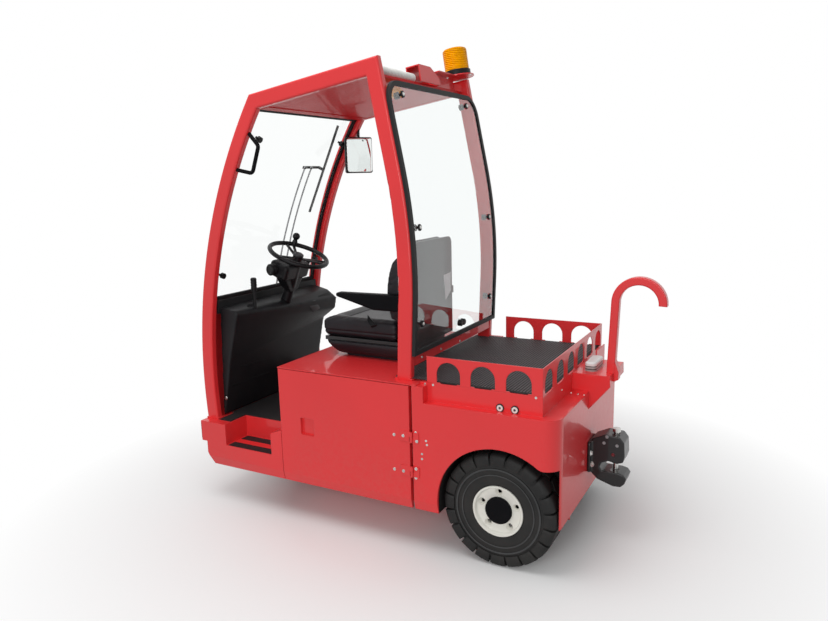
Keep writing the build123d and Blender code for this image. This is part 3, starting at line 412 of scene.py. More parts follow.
# The rear lamp's pale and dark layers paint the look of its chrome and glass: a painted reflection.
lamp_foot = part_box("rear_lamp")[0].z
lamp_reflection_bands = [
    (0, (0.30, 0.31, 0.30)),
    (lamp_foot + 0.008, (0.03, 0.03, 0.03)),
    (lamp_foot + 0.013, (0.36, 0.38, 0.37)),
    (lamp_foot + 0.022, (0.05, 0.05, 0.05)),
    (lamp_foot + 0.026, (0.72, 0.73, 0.72)),
]
painted_reflection_bands("work_lamp", lamp_reflection_bands)
bright_steel = metal("bright_steel", (0.62, 0.62, 0.60), 0.25)
satin_steel = metal("satin_steel", (0.30, 0.30, 0.31), 0.4)
mirror_silver = metal("mirror_silver", (0.86, 0.88, 0.87), 0.01, 0.0, 0.98)
print("clear finishes and metal ready")

# %% [markdown]
# ## Dressing the imported solids
#
# A solid whose shape is right only needs its material. The table pairs each finish with the
# solids that wear it.

# %% Which solid wears what
worn = {
    "red_enamel": """front_body seat_box door_left door_right door_hinges deck_rail
        rear_bracket lifting_hook cab_frame_left cab_frame_right front_panel rear_beam
        beacon_bracket""",
    "body_enamel": "rear_body",
    "ceiling_enamel": "roof",
    "cream_enamel": "rear_left_rim rear_right_rim front_rim",
    "black_enamel": "rear_axle front_fork chassis_rails tow_hitch seat_pan wiper_blade wiper_bosses",
    "satin_steel": "wiper_arm_main wiper_arm_second",
    "bright_steel": "tow_pin",
    "tyre_rubber": "rear_left_tyre rear_right_tyre front_tyre",
    "seal_rubber": "bumper_rubber windscreen_seal rear_window_seal",
    "mat_rubber": "floor_mats",
    "ribbed_rubber": "deck_mat",
    "black_plastic": """steering_column steering_wheel driver_controls seat_base mirror
        window_knobs beacon_base battery""",
    "dull_plastic": "rear_left_hub_cap rear_right_hub_cap armrest_left armrest_right grab_handle",
    "dash_plastic": "dashboard",
    "seat_vinyl": "seat_cushion seat_backrest",
    "rear_glass": "rear_window",
    "front_glass": "windscreen",
    "amber_lens": "beacon_lens roof_lamp",
    "clear_lens": "headlamps",
    "work_lamp": "rear_lamp",
    "white_plastic": "side_buttons roof_conduit",
}


def dress(node, material):
    mesh = nodes[node].data
    mesh.materials.clear()
    mesh.materials.append(material)


for finish_name, names in worn.items():
    for node_name in names.split():
        dress(node_name, finishes[finish_name])
bare = set(nodes) - {n for names in worn.values() for n in names.split()}
print("solids without a finish:", sorted(bare))

# %% [markdown]
# ## Meshes from sections
#
# Most of the added pieces are one of two things: a section turned about an axis, such as a
# tyre, or a few loops joined in order, such as a tread block. Both come from the same helper,
# which bridges each loop to the next and lets bmesh turn all faces outward at the end.

# %% Sections into a mesh
def skin(name, loops, ring=False):
    """Joins loops of equally many points, with capped ends or closed into a ring."""
    bm = bmesh.new()
    rows = [[bm.verts.new(point) for point in loop] for loop in loops]
    pairs = list(zip(rows, rows[1:] + rows[:1])) if ring else list(zip(rows, rows[1:]))
    for one, two in pairs:
        for k in range(len(one)):
            after = (k + 1) % len(one)
            bm.faces.new((one[k], one[after], two[after], two[k]))
    if not ring:
        bm.faces.new(rows[0])
        bm.faces.new(rows[-1])
    return settle(bm, name)


def settle(bm, name):
    """Turns the faces outward and keeps sharp edges crisp."""
    bmesh.ops.remove_doubles(bm, verts=bm.verts, dist=1e-6)
    bmesh.ops.recalc_face_normals(bm, faces=bm.faces)
    mesh = bpy.data.meshes.new(name)
    bm.to_mesh(mesh)
    bm.free()
    mesh.shade_smooth()
    mesh.set_sharp_from_angle(angle=math.radians(35))
    return mesh


def turned(name, section, steps):
    """A closed section of (radius, height) pairs turned about Z."""
    loops = []
    for k in range(steps):
        angle = 2 * math.pi * k / steps
        loops.append([(r * math.cos(angle), r * math.sin(angle), h) for r, h in section])
    return skin(name, loops, ring=True)


def add_piece(name, mesh, material, body, place=None):
    """A finished mesh as a piece that rides on a body and belongs to a material slot."""
    if place:
        mesh.transform(place)
    mesh.materials.clear()
    mesh.materials.append(material)
    piece = bpy.data.objects.new(name, mesh)
    scene.collection.objects.link(piece)
    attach(piece, body)
    return piece


def middle(node):
    low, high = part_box(node)
    return (low + high) / 2


print("mesh helpers ready")

# %% [markdown]
# ## What repeats grows from a tree
#
# Tread blocks, ribs and screws could be copied in a loop, but a Geometry Nodes tree states the
# rule once and keeps its sizes as named inputs. Three small trees are enough: a ring of copies
# about Z, a row of copies along a vector, and a copy at each point that faces a given way. Each
# ends by making the copies real and giving them their material.

# %% A Geometry Nodes tree
class Growth:
    def __init__(self, name, **sizes):
        self.tree = bpy.data.node_groups.new(name, "GeometryNodeTree")
        kinds = {int: "Int", float: "Float", tuple: "Vector"}
        self.add_input("Geometry", "Geometry")
        self.add_input("Material", "Material")
        for label, value in sizes.items():
            self.add_input(label, kinds[type(value)]).default_value = value
        self.tree.interface.new_socket("Geometry", in_out="OUTPUT", socket_type="NodeSocketGeometry")
        self.source = self.tree.nodes.new("NodeGroupInput")
        self.sink = self.tree.nodes.new("NodeGroupOutput")

    def add_input(self, label, kind):
        return self.tree.interface.new_socket(label, in_out="INPUT", socket_type="NodeSocket" + kind)

    def node(self, kind, settings=None, inputs=None, out=0):
        made = self.tree.nodes.new(kind)
        for key, value in (settings or {}).items():
            setattr(made, key, value)
        for key, value in (inputs or {}).items():
            if isinstance(value, bpy.types.NodeSocket):
                self.tree.links.new(value, made.inputs[key])
            else:
                made.inputs[key].default_value = value
        return made.outputs[out]

    def size(self, label):
        return self.source.outputs[label]

    def sum(self, operation, a, b):
        return self.node("ShaderNodeMath", {"operation": operation}, {0: a, 1: b})

    def close(self, copies):
        real = self.node("GeometryNodeRealizeInstances", None, {"Geometry": copies})
        painted = {"Geometry": real, "Material": self.size("Material")}
        self.tree.links.new(self.node("GeometryNodeSetMaterial", None, painted), self.sink.inputs[0])
        return self


# %% The three trees
def ring_growth():
    """Copies set evenly round Z, from a starting share of one pitch."""
    growth = Growth("ring of copies", Count=12, Start=0.0)
    index = growth.node("GeometryNodeInputIndex")
    share = growth.sum("DIVIDE", growth.sum("ADD", index, growth.size("Start")), growth.size("Count"))
    angle = growth.sum("MULTIPLY", share, 2 * math.pi)
    euler = growth.node("ShaderNodeCombineXYZ", None, {"Z": angle})
    turn = growth.node("FunctionNodeEulerToRotation", None, {0: euler})
    stacked = {"Count": growth.size("Count"), "Offset": (0, 0, 0)}
    spots = growth.node("GeometryNodeMeshLine", None, stacked)
    inputs = {"Points": spots, "Instance": growth.size("Geometry"), "Rotation": turn}
    return growth.close(growth.node("GeometryNodeInstanceOnPoints", None, inputs))


def row_growth():
    """Copies along a vector."""
    growth = Growth("row of copies", Count=10, Step=(0.01, 0.0, 0.0))
    inputs = {"Count": growth.size("Count"), "Offset": growth.size("Step")}
    spots = growth.node("GeometryNodeMeshLine", None, inputs)
    inputs = {"Points": spots, "Instance": growth.size("Geometry")}
    return growth.close(growth.node("GeometryNodeInstanceOnPoints", None, inputs))


def fastener_growth():
    """A head on a washer at every point, along the point's own facing."""
    growth = Growth("screws on points", Sides=6, Radius=0.006, Height=0.004)
    kind = {"data_type": "FLOAT_VECTOR"}
    facing = growth.node("GeometryNodeInputNamedAttribute", kind, {"Name": "facing"})
    turn = growth.node("FunctionNodeAlignRotationToVector", {"axis": "Z"}, {"Vector": facing})
    head = {"Vertices": growth.size("Sides"), "Radius Bottom": growth.size("Radius"),
            "Radius Top": growth.sum("MULTIPLY", growth.size("Radius"), 0.86),
            "Depth": growth.size("Height")}
    cone = growth.node("GeometryNodeMeshCone", None, head)
    collar = {"Vertices": 20, "Radius Bottom": growth.sum("MULTIPLY", growth.size("Radius"), 1.45),
              "Radius Top": growth.sum("MULTIPLY", growth.size("Radius"), 1.35),
              "Depth": growth.sum("MULTIPLY", growth.size("Height"), 0.3)}
    washer = growth.node("GeometryNodeMeshCone", None, collar)
    screw = growth.node("GeometryNodeJoinGeometry", None, {"Geometry": cone})
    growth.tree.links.new(washer, screw.node.inputs["Geometry"])
    inputs = {"Points": growth.size("Geometry"), "Instance": screw, "Rotation": turn}
    return growth.close(growth.node("GeometryNodeInstanceOnPoints", None, inputs))


ring, row, fasteners = ring_growth(), row_growth(), fastener_growth()


def grow(name, growth, source, material, body, place=None, **sizes):
    """Runs a tree on a source mesh, and keeps the result as a plain mesh on a body."""
    seed = bpy.data.objects.new(name + "_seed", source)
    scene.collection.objects.link(seed)
    modifier = seed.modifiers.new("growth", "NODES")
    modifier.node_group = growth.tree
    sizes["Material"] = material
    for item in growth.tree.interface.items_tree:
        if item.in_out == "INPUT" and item.name in sizes:
            modifier[item.identifier] = sizes[item.name]
    evaluated = seed.evaluated_get(bpy.context.evaluated_depsgraph_get())
    mesh = bpy.data.meshes.new_from_object(evaluated)
    bpy.data.objects.remove(seed)
    mesh.name = name
    return add_piece(name, mesh, material, body, place)


print("trees ready")

# %% [markdown]
# ## Tyres
#
# The tug stands on solid rubber tyres. Their sides carry two thin moulded rings, and their
# tread is two rows of broad blocks, half a pitch apart, that meet at a zigzag groove. The rings
# belong to the turned carcass. One block is made as a skin over seven loops, and the ring tree
# sets twenty of them round each side of a rear tyre and sixteen on the smaller front tyre. The
# sizes are written down for one tyre, and each tyre scales them to its own radius and width.

# %% Carcass and tread
drawn_radius, drawn_half_width = 0.270, 0.080


def carcass_section():
    """(radius, across) pairs on the tyre as drawn, from its bead out to its tread."""
    side = [(0.120, 0.072), (0.130, 0.0745), (0.150, 0.0760), (0.1680, 0.0758), (0.1690, 0.0790),
            (0.1745, 0.0795), (0.1760, 0.0762), (0.1940, 0.0758), (0.1955, 0.0798), (0.2030, 0.0796),
            (0.2050, 0.0745), (0.2160, 0.0720), (0.2340, 0.0690), (0.2460, 0.0640), (0.2520, 0.0540),
            (0.2540, 0.0400)]
    return side + [(r, -w) for r, w in reversed(side)]


def tread_block():
    """One block of the outer row: loops of (radius, across) at stations round the tyre."""
    loops = []
    half_arc = 0.037
    for arc in (-half_arc, -0.0345, -0.018, 0, 0.018, 0.0345, half_arc):
        pinch = 0.0025 if abs(arc) == half_arc else 0
        inner = 0.012 - 0.014 * (1 - abs(arc) / half_arc) + pinch
        top = 0.2697 - pinch
        edge = 0.0799 - pinch
        loop = [
            (0.250, inner), (top - 0.002, inner), (top, inner + 0.002), (top, 0.058),
            (top - 0.003, 0.069), (0.258 - pinch, 0.0765), (0.246, edge), (0.224, edge),
            (0.216, 0.0775), (0.214, 0.070), (0.236, 0.064), (0.248, 0.052),
        ]
        angle = arc / drawn_radius
        loops.append([(r * math.cos(angle), r * math.sin(angle), w) for r, w in loop])
    return loops


def dress_tyre(node, body, count):
    """Carcass with two paler rings, a painted highlight on their raised faces, and a row of tread blocks
    on each side.
    """
    low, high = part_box(node)
    growth = (high.z - low.z) / 2 / drawn_radius
    widening = (high.y - low.y) / 2 / drawn_half_width
    size = Matrix.Diagonal((growth, growth, widening, 1))
    place = Matrix.Translation(middle(node)) @ Matrix.Rotation(math.radians(-90), 4, "X") @ size
    carcass = add_piece(node + "_carcass", turned(node, carcass_section(), 96), tyre_rubber, body, place)
    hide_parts(node)
    carcass.data.materials.append(scuffed_rubber)
    axle = middle(node)
    # The raised rings' faces take the paler rubber, a painted highlight.
    for face in carcass.data.polygons:
        reach = math.hypot(face.center.x - axle.x, face.center.z - axle.z) / growth
        if 0.170 < reach < 0.174 or 0.196 < reach < 0.202:
            face.material_index = 1
    for row_name, side, start in (("outer", 1, 0.0), ("inner", -1, 0.5)):
        loops = [[(x, y, side * z) for x, y, z in loop] for loop in tread_block()]
        block = skin(node + "_block", loops)
        name = f"{node}_tread_{row_name}"
        grow(name, ring, block, tyre_rubber, body, place, Count=count, Start=start)


dress_tyre("rear_left_tyre", "rear_left_wheel", 20)
dress_tyre("rear_right_tyre", "rear_right_wheel", 20)
dress_tyre("front_tyre", "front_wheel", 16)
print("tyres:", [o.name for o in scene.objects if "tread" in o.name])

# %% [markdown]
# ## The ribbed deck mat and the conduit
#
# The load deck is covered with a rubber mat whose fine ribs run across the tug, a finger's
# width apart. The white hose along the roof's rear edge is a corrugated conduit. Both are rows:
# a straight rib repeated forwards, and one turned wave repeated along the hose.

# %% Ribs
def mat_ribs():
    """Ribs across the deck, each a (forward, up) section drawn out over the mat's width."""
    low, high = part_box("deck_mat")
    pitch, margin = 0.014, 0.012
    section = [(0, -0.001), (0.010, -0.001), (0.0092, 0.0022), (0.0008, 0.0022)]
    loops = [[(low.x + margin + x, y, high.z + z) for x, z in section]
             for y in (low.y + margin, high.y - margin)]
    count = int((high.x - low.x - 2 * margin) / pitch)
    grow("deck_mat_ribs", row, skin("rib", loops), ribbed_rubber, "vehicle", None,
         Count=count, Step=(pitch, 0, 0))
    print("mat ribs", count)


def conduit_waves():
    """The hose as one wave, in shares of (radius, pitch), repeated over its length."""
    low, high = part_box("roof_conduit")
    radius, pitch = (high.z - low.z) / 2, 0.0135
    count = int((high.y - low.y) / pitch)
    pitch = (high.y - low.y) / count
    wave = [(0.55, 0), (0.78, 0), (0.82, 0.12), (0.97, 0.25), (1.0, 0.5),
            (0.97, 0.75), (0.82, 0.88), (0.78, 1), (0.55, 1)]
    section = [(r * radius, h * pitch) for r, h in wave]
    start = Vector((middle("roof_conduit").x, low.y, middle("roof_conduit").z))
    place = Matrix.Translation(start) @ Matrix.Rotation(math.radians(-90), 4, "X")
    hose = grow("roof_conduit_hose", row, turned("wave", section, 40), white_plastic, "vehicle", place,
                Count=count, Step=(0, 0, pitch))
    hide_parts("roof_conduit")
    print("conduit waves", count)


mat_ribs()
conduit_waves()

# %% [markdown]
# ## The seat's cushions
#
# The seat is vinyl sewn over foam: two firm rolls at the sides, a flatter middle, and welts
# where the panels meet. A box with rounded edges never looks stuffed, so each cushion starts
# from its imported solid, gets its rolls, and is blown up a little by Blender's cloth solver, as
# foam pushes its cover out. Seams are pressed in afterwards, because the remesh would lose
# anything finer than its cells.

# %% From solid to stuffed cover
def voxel_copy(node, name, cell):
    """A copy of a solid, rebuilt as an even mesh of small cells."""
    bm = bmesh.new()
    bm.from_mesh(nodes[node].data)
    bmesh.ops.remove_doubles(bm, verts=bm.verts, dist=1e-5)
    mesh = bpy.data.meshes.new(name)
    bm.to_mesh(mesh)
    bm.free()
    pad = bpy.data.objects.new(name, mesh)
    scene.collection.objects.link(pad)
    remesh = pad.modifiers.new("remesh", "REMESH")
    remesh.mode = "VOXEL"
    remesh.voxel_size = cell
    keep_result(pad)
    return pad


def keep_result(pad):
    """Turns what the modifiers show into the piece's own mesh."""
    graph = bpy.context.evaluated_depsgraph_get()
    mesh = bpy.data.meshes.new_from_object(pad.evaluated_get(graph))
    pad.modifiers.clear()
    pad.data = mesh


def blow_up(pad, cap, frames):
    """Cloth with air pressure inside. No point moves further than the cap."""
    start = [vertex.co.copy() for vertex in pad.data.vertices]
    cloth = pad.modifiers.new("cloth", "CLOTH")
    cloth.settings.use_pressure = True
    cloth.settings.uniform_pressure_force = 4.0
    cloth.settings.quality = 5
    cloth.settings.effector_weights.gravity = 0.0
    for number in range(1, frames + 1):
        scene.frame_set(number)
    keep_result(pad)
    for vertex, origin in zip(pad.data.vertices, start):
        move = vertex.co - origin
        if move.length > cap:
            vertex.co = origin + move * (cap / move.length)
    scene.frame_set(1)


def ramp(value, low, high):
    """0 below low, 1 above high, and a soft step between."""
    share = min(1.0, max(0.0, (value - low) / (high - low)))
    return share * share * (3 - 2 * share)


def press_seams(mesh, depth, width, distances):
    """Pulls the cover in along each seam, given as a distance from the seam's line."""
    normals = [vertex.normal.copy() for vertex in mesh.vertices]
    for vertex, normal in zip(mesh.vertices, normals):
        near = min(distance(vertex.co) for distance in distances)
        vertex.co -= normal * (depth * math.exp(-(near / width) ** 2))


cover_cell = 0.0065
swell = 0.007
seam_depth, seam_width = 0.0045, 0.0045


def stuffed(node, form, seams, body):
    """A padded cover: the solid's copy, shaped, blown up, smoothed and seamed."""
    pad = voxel_copy(node, node + "_cover", cover_cell)
    for vertex in pad.data.vertices:
        vertex.co = form(vertex.co)
    blow_up(pad, swell, 20)
    smooth = pad.modifiers.new("smooth", "SUBSURF")
    smooth.levels = smooth.render_levels = 1
    keep_result(pad)
    press_seams(pad.data, seam_depth, seam_width, seams)
    pad.data.shade_smooth()
    cover = add_piece(node + "_padded", pad.data, seat_vinyl, body)
    bpy.data.objects.remove(pad)
    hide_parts(node)
    print(node, "cover:", len(cover.data.vertices), "points")


# %% Cushion and backrest
def stuff_cushion():
    low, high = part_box("seat_cushion")
    centre = (low + high) / 2
    front = high.x

    def form(p):
        """A dished middle between side rolls, a rolled front edge and sides that pull in below."""
        x, y, z = p
        up = ramp(z, centre.z, high.z)
        dish = 0.014 * (1 - ramp(abs(y), 0.125, 0.190)) * (1 - ramp(x, front - 0.12, front - 0.05))
        nose = 0.006 * ramp(x, front - 0.09, front) * up
        pull = 1 - 0.02 * (1 - ramp(z, low.z, low.z + 0.05))
        x = centre.x + (x - centre.x) * (pull - 0.010)
        return Vector((x, y * (pull - 0.012), z - up * (dish + nose) + 0.003 * (centre.z - z) / 0.05))

    def below_top(p):
        return max(0, centre.z + 0.01 - p.z)

    def side_roll(p):
        seam_y = 0.158 + 0.03 * ramp(p.x, front - 0.25, front)
        return math.hypot(abs(p.y) - seam_y, below_top(p))

    def front_roll(p):
        return math.hypot(p.x - (front - 0.115), max(0, abs(p.y) - 0.16), below_top(p))

    def welt(p):
        return abs(p.z - (low.z + 0.034))

    stuffed("seat_cushion", form, [side_roll, front_roll, welt], "seat")


def stuff_backrest():
    low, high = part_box("seat_backrest")
    back = low.x

    def form(p):
        """Side rolls ahead of a hollow middle; the flat back stays on its shell."""
        x, y, z = p
        ahead = ramp(x, back + 0.03, back + 0.10)
        dish = 0.026 * (1 - ramp(abs(y), 0.110, 0.185)) * ramp(z, low.z + 0.06, low.z + 0.16)
        crown = 0.045 * ramp(z, high.z - 0.13, high.z) * ramp(abs(y), 0.12, 0.24)
        y *= 0.985 - 0.05 * ramp(z, high.z - 0.2, high.z)
        return Vector((back + 0.003 + (x - back) * 0.965 - ahead * dish, y, z - crown - 0.003))

    def behind_face(p):
        return max(0, back + 0.05 - p.x)

    def side_roll(p):
        return math.hypot(abs(p.y) - 0.150, behind_face(p))

    def cross(height):
        return lambda p: math.hypot(p.z - height, behind_face(p), max(0, abs(p.y) - 0.150))

    def edge(p):
        return abs(p.x - (back + 0.030)) + max(0, low.z + 0.08 - p.z)

    seams = [side_roll, cross(high.z - 0.10), cross(low.z + 0.2), edge]
    stuffed("seat_backrest", form, seams, "seat")


stuff_cushion()
stuff_backrest()

# %% [markdown]
# ## Castings and mouldings with soft edges
#
# The dashboard, the steering column's cover and the armrests are moulded, and the tow hitch is
# cast, so none of them has a crisp edge. Each is rebuilt as an even mesh and then smoothed: the
# flat faces stay where they are and only the edges give way. The cell size sets how far.

# %% Soft edges
def softened(node, cell, passes, material, body):
    """A solid rebuilt in cells of a size, its edges eased by so many smoothing passes."""
    pad = voxel_copy(node, node + "_soft", cell)
    smooth = pad.modifiers.new("smooth", "SMOOTH")
    smooth.factor, smooth.iterations = 0.5, passes
    keep_result(pad)
    pad.data.shade_smooth()
    piece = add_piece(node + "_moulded", pad.data, material, body)
    bpy.data.objects.remove(pad)
    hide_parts(node)
    print(node, "soft:", len(piece.data.vertices), "points")


softened("dashboard", 0.007, 10, dash_plastic, "vehicle")
softened("steering_column", 0.004, 6, black_plastic, "vehicle")
softened("tow_hitch", 0.003, 5, black_enamel, "vehicle")
softened("armrest_left", 0.004, 7, dull_plastic, "left_armrest")
softened("armrest_right", 0.004, 7, dull_plastic, "right_armrest")

# %% [markdown]
# ## Screws where the photograph shows them
#
# The visible screws and rivets were read off the photograph as pixels. A ray from the camera
# through each pixel ends on the solid that carries the screw, which gives both its place and
# the way it faces, so every head sits on its plate from any side. The ones that have a twin on
# the other side of the tug are mirrored.

# %% Screw heads
surfaces = {}


def surface(node):
    """A solid's faces in a tree that rays can be cast at, built once."""
    if node not in surfaces:
        mesh = nodes[node].data
        corners = [vertex.co for vertex in mesh.vertices]
        faces = [face.vertices for face in mesh.polygons]
        surfaces[node] = BVHTree.FromPolygons(corners, faces)
    return surfaces[node]


def struck(carrier, start, way):
    """Where a ray meets a solid, and the way the solid faces there."""
    spot, facing, _, _ = surface(carrier).ray_cast(start, way)
    return spot, facing


def seen(px, py, carrier):
    """Where the photograph's pixel meets a solid, and the way the solid faces there."""
    camera = scene.camera.matrix_world
    across, up = px - photo_width / 2, photo_height / 2 - py
    way = camera.to_3x3() @ Vector((across / focal_pixels, up / focal_pixels, -1))
    spot, facing = struck(carrier, camera.translation, way.normalized())
    if spot is None:
        print("no", carrier, "behind pixel", px, py)
    return spot, facing


def found(carrier, pixels):
    """What the pixels meet on a solid, as (place, facing) pairs, without those that miss it."""
    hits = [seen(px, py, carrier) for px, py in pixels]
    return [hit for hit in hits if hit[0] is not None]


def mirrored(spots):
    """The same (place, facing) pairs on the tug's other side."""
    return [tuple(Vector((v.x, -v.y, v.z)) for v in pair) for pair in spots]


def plant(name, spots, body, radius, height, material, sides=6):
    """A screw head at each (place, facing) pair."""
    if not spots:
        return
    mesh = bpy.data.meshes.new(name + "_points")
    mesh.from_pydata([spot for spot, _ in spots], [], [])
    facings = mesh.attributes.new("facing", "FLOAT_VECTOR", "POINT")
    for number, (_, facing) in enumerate(spots):
        facings.data[number].vector = facing
    grow(name, fasteners, mesh, material, body, None, Sides=sides, Radius=radius, Height=height)
    print(name, len(spots))


def screws(name, carrier, pixels, radius, height, material, sides=6, twin=False):
    """Screw heads on the vehicle, at pixels and, as twins, on the other side."""
    spots = found(carrier, pixels)
    if twin:
        spots += mirrored(spots)
    plant(name, spots, "vehicle", radius, height, material, sides)


def door_bolts():
    """Four bolts in the left door's hinge leaves, and their twins on the right door."""
    left = found("door_left", [(394, 434.5), (403, 435.7), (394.5, 469), (403.5, 471)])
    for side, spots in (("left", left), ("right", mirrored(left))):
        name = side + "_hinge_door_bolts"
        plant(name, spots, side + "_door", 0.0055, 0.003, bright_steel, 10)


screws("rear_corner_rivets", "rear_body", [(562, 390), (571, 393), (578, 394), (584, 395)],
       0.0035, 0.003, bright_steel, 12)
screws("rail_screws", "rear_body", [(425, 384), (433, 385), (536, 398)], 0.004, 0.003, bright_steel)
screws("body_bolts", "rear_body", [(422, 454), (422, 459), (426, 441), (427, 445)],
       0.004, 0.003, bright_steel, 6, True)
screws("hinge_bolts", "door_hinges", [(416.7, 441.5), (416, 469)],
       0.0055, 0.003, bright_steel, 10, True)
screws("hinge_body_bolts", "rear_body", [(415.5, 433), (416, 478)],
       0.0055, 0.003, bright_steel, 10, True)
door_bolts()
screws("window_sill_bolts", "rear_beam", [(422, 357), (441, 349), (460, 341)],
       0.005, 0.004, bright_steel, 10)
screws("seat_base_bolts", "seat_base", [(385, 348)], 0.008, 0.006, bright_steel, 6, True)
screws("dash_bolts", "dashboard", [(226, 398)], 0.008, 0.005, bright_steel, 12)
screws("hitch_flange_bolts", "tow_hitch", [(591, 453), (591, 464)], 0.011, 0.009, bright_steel)
screws("hitch_side_bolts", "tow_hitch", [(604, 443), (607, 437), (617, 446), (611, 470)],
       0.0055, 0.004, satin_steel)
screws("hitch_button", "tow_hitch", [(613, 455)], 0.0065, 0.005, dark_enamel, 16)
screws("beacon_plate_bolts", "beacon_bracket", [(470, 74), (447, 78)], 0.006, 0.005, bright_steel)

# %% [markdown]
# ## Flat details read off the photograph
#
# The dashboard's switch panel, its small lid, its moulded creases and the plain pale pocket on
# the seat's back are thin raised shapes on a nearly flat carrier. Each is given by the pixels
# of its corners. The same rays as before bring them onto the carrier, and the outline is raised
# by the detail's thickness.

# %% Raised outlines
def raised(name, carrier, body, pixels, thickness, material, root=0.002):
    """A thin plate on a solid, its outline given in the photograph's pixels."""
    hits = found(carrier, pixels)
    if len(hits) < 3:
        return
    top_share, shoulder = 0.93, 0.6
    way = sum((facing for _, facing in hits), Vector()).normalized()
    centre = sum((spot for spot, _ in hits), Vector()) / len(hits)
    flat = [spot - way * (spot - centre).dot(way) for spot, _ in hits]
    inner = [centre + (spot - centre) * top_share + way * thickness for spot in flat]
    edge = [spot + way * thickness * shoulder for spot in flat]
    under = [spot - way * root for spot in flat]
    add_piece(name, skin(name, [under, edge, inner]), material, body)


def crease(name, start, end):
    """A long ridge on the dashboard between two pixels."""
    (x0, y0), (x1, y1) = start, end
    half_width = 0.5
    corners = [(x0, y0 - half_width), (x1, y1 - half_width),
               (x1, y1 + half_width), (x0, y0 + half_width)]
    raised(name, "dashboard", "vehicle", corners, 0.002, black_plastic)


grey_plastic = pebbled("grey_plastic", (0.05, 0.05, 0.053), 900.0, 0.0001, 0.4)
pale_card = pebbled("pale_card", (0.55, 0.50, 0.52), 300.0, 0.0001, 0.5)
raised("dash_switch_panel", "dashboard", "vehicle", [(308, 303), (315, 300), (320, 308), (312, 312)],
       0.004, grey_plastic)
raised("dash_small_lid", "dashboard", "vehicle", [(318, 296), (328, 292), (333, 300), (322, 304)],
       0.003, black_plastic)
crease("dash_upper_crease", (240, 367), (265, 359))
crease("dash_lower_crease", (232, 386), (269, 372))
raised("lever_slot", "dashboard", "vehicle",
       [(243, 305), (250, 303), (258, 313), (257, 323), (252, 324), (250, 313)],
       0.0015, seal_rubber)
raised("seat_back_pocket", "seat_pan", "seat", [(443, 275), (450, 272), (450, 291), (445, 300)],
       0.002, pale_card)
raised("belt_buckle", "seat_cushion", "seat", [(367, 321), (371, 318), (376, 325), (371, 327)],
       0.012, black_plastic, 0.022)
print("flat details ready")

# %% [markdown]
# ## Turned details
#
# Rings, knobs and washers are sections turned about an axis. A helper turns the section about
# Z, aims it and sets it in place. A section that reaches the axis stops short of it by a hair,
# so that its poles stay clean. The spinner knob's skirt and the steering wheel's boss ride on
# the steering wheel, and everything else on the vehicle.

# %% Aiming a turned section
hair = 0.0004


def aimed(name, section, place, way, body, material, steps=40):
    """A turned piece whose own Z points a given way."""
    turn = Vector(way).to_track_quat("Z", "Y").to_matrix().to_4x4()
    matrix = Matrix.Translation(Vector(place)) @ turn
    add_piece(name, turned(name, section, steps), material, body, matrix)


def disc(radius, low, high, bevel=0.001):
    """Section of a disc with a small bevel on its upper edge."""
    return [(hair, low), (radius, low), (radius, high - bevel), (radius - bevel, high), (hair, high)]


def band(inner, outer, low, high):
    """Section of a ring with both upper edges bevelled."""
    rise = (outer - inner) * 0.25
    return [(inner, low), (outer, low), (outer, high - rise), (outer - rise, high),
            (inner + rise, high), (inner, high - rise)]


# %% Buttons, lamps and window clamps
def dress_buttons():
    """A rubber ring and a grey centre on each of the body's side buttons."""
    low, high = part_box("side_buttons")
    radius = (high.z - low.z) / 2
    for end_name, x in (("rear", low.x + radius), ("front", high.x - radius)):
        for side_name, side in (("right", -1), ("left", 1)):
            spot = Vector((x, side * (high.y - 0.0055), (low.z + high.z) / 2))
            tag = f"{side_name}_{end_name}"
            out = (0, side, 0)
            ring_section = band(radius, radius + 0.0045, 0, 0.0045)
            aimed("button_ring_" + tag, ring_section, spot, out, "vehicle", seal_rubber)
            centre_section = disc(radius * 0.42, 0, 0.0062)
            aimed("button_centre_" + tag, centre_section, spot, out, "vehicle", grey_plastic)


def dress_headlamps():
    """A bright rim and a domed, ribbed glass on each lamp."""
    low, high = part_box("headlamps")
    lamp_radius = 0.062
    dome = [(hair, 0.0), (0.0585, 0.0), (0.0585, 0.005), (0.050, 0.0095), (0.035, 0.0125),
            (0.015, 0.014), (hair, 0.0143)]
    ahead = (1, 0, 0)
    for tag, side in (("right", -1), ("left", 1)):
        spot = Vector((high.x - 0.0065, side * (high.y - lamp_radius), (low.z + high.z) / 2))
        rim = band(0.057, 0.070, 0, 0.013)
        aimed("headlamp_rim_" + tag, rim, spot, ahead, "vehicle", bright_steel, 56)
        seat = spot + Vector((0.002, 0, 0))
        aimed("headlamp_glass_" + tag, dome, seat, ahead, "vehicle", ribbed_lens, 56)


def panel_screws():
    """Screws that hold the front panel, found by looking back at it from ahead."""
    spots = []
    for y in (-0.432, 0.432):
        for z in (0.50, 0.66, 0.82, 0.98):
            spots.append(struck("front_panel", Vector((2, y, z)), Vector((-1, 0, 0))))
    plant("panel_screws", spots, "vehicle", 0.006, 0.004, bright_steel, 10)


def clamp_heads():
    """A rubber washer and a bright bolt outside the rear window, opposite each clamp."""
    clamps = [(side * y, z) for y, z in ((0.414, 1.08), (0.414, 1.53), (0.354, 2.13))
              for side in (1, -1)]
    washer = band(0.006, 0.016, 0, 0.007)
    bolt = disc(0.0085, 0, 0.011, 0.003)
    for number, (y, z) in enumerate(clamps, 1):
        spot, facing = struck("rear_window", Vector((-2, y, z)), Vector((1, 0, 0)))
        aimed(f"clamp_washer_{number}", washer, spot, facing, "vehicle", seal_rubber)
        aimed(f"clamp_bolt_{number}", bolt, spot, facing, "vehicle", bright_steel, 24)


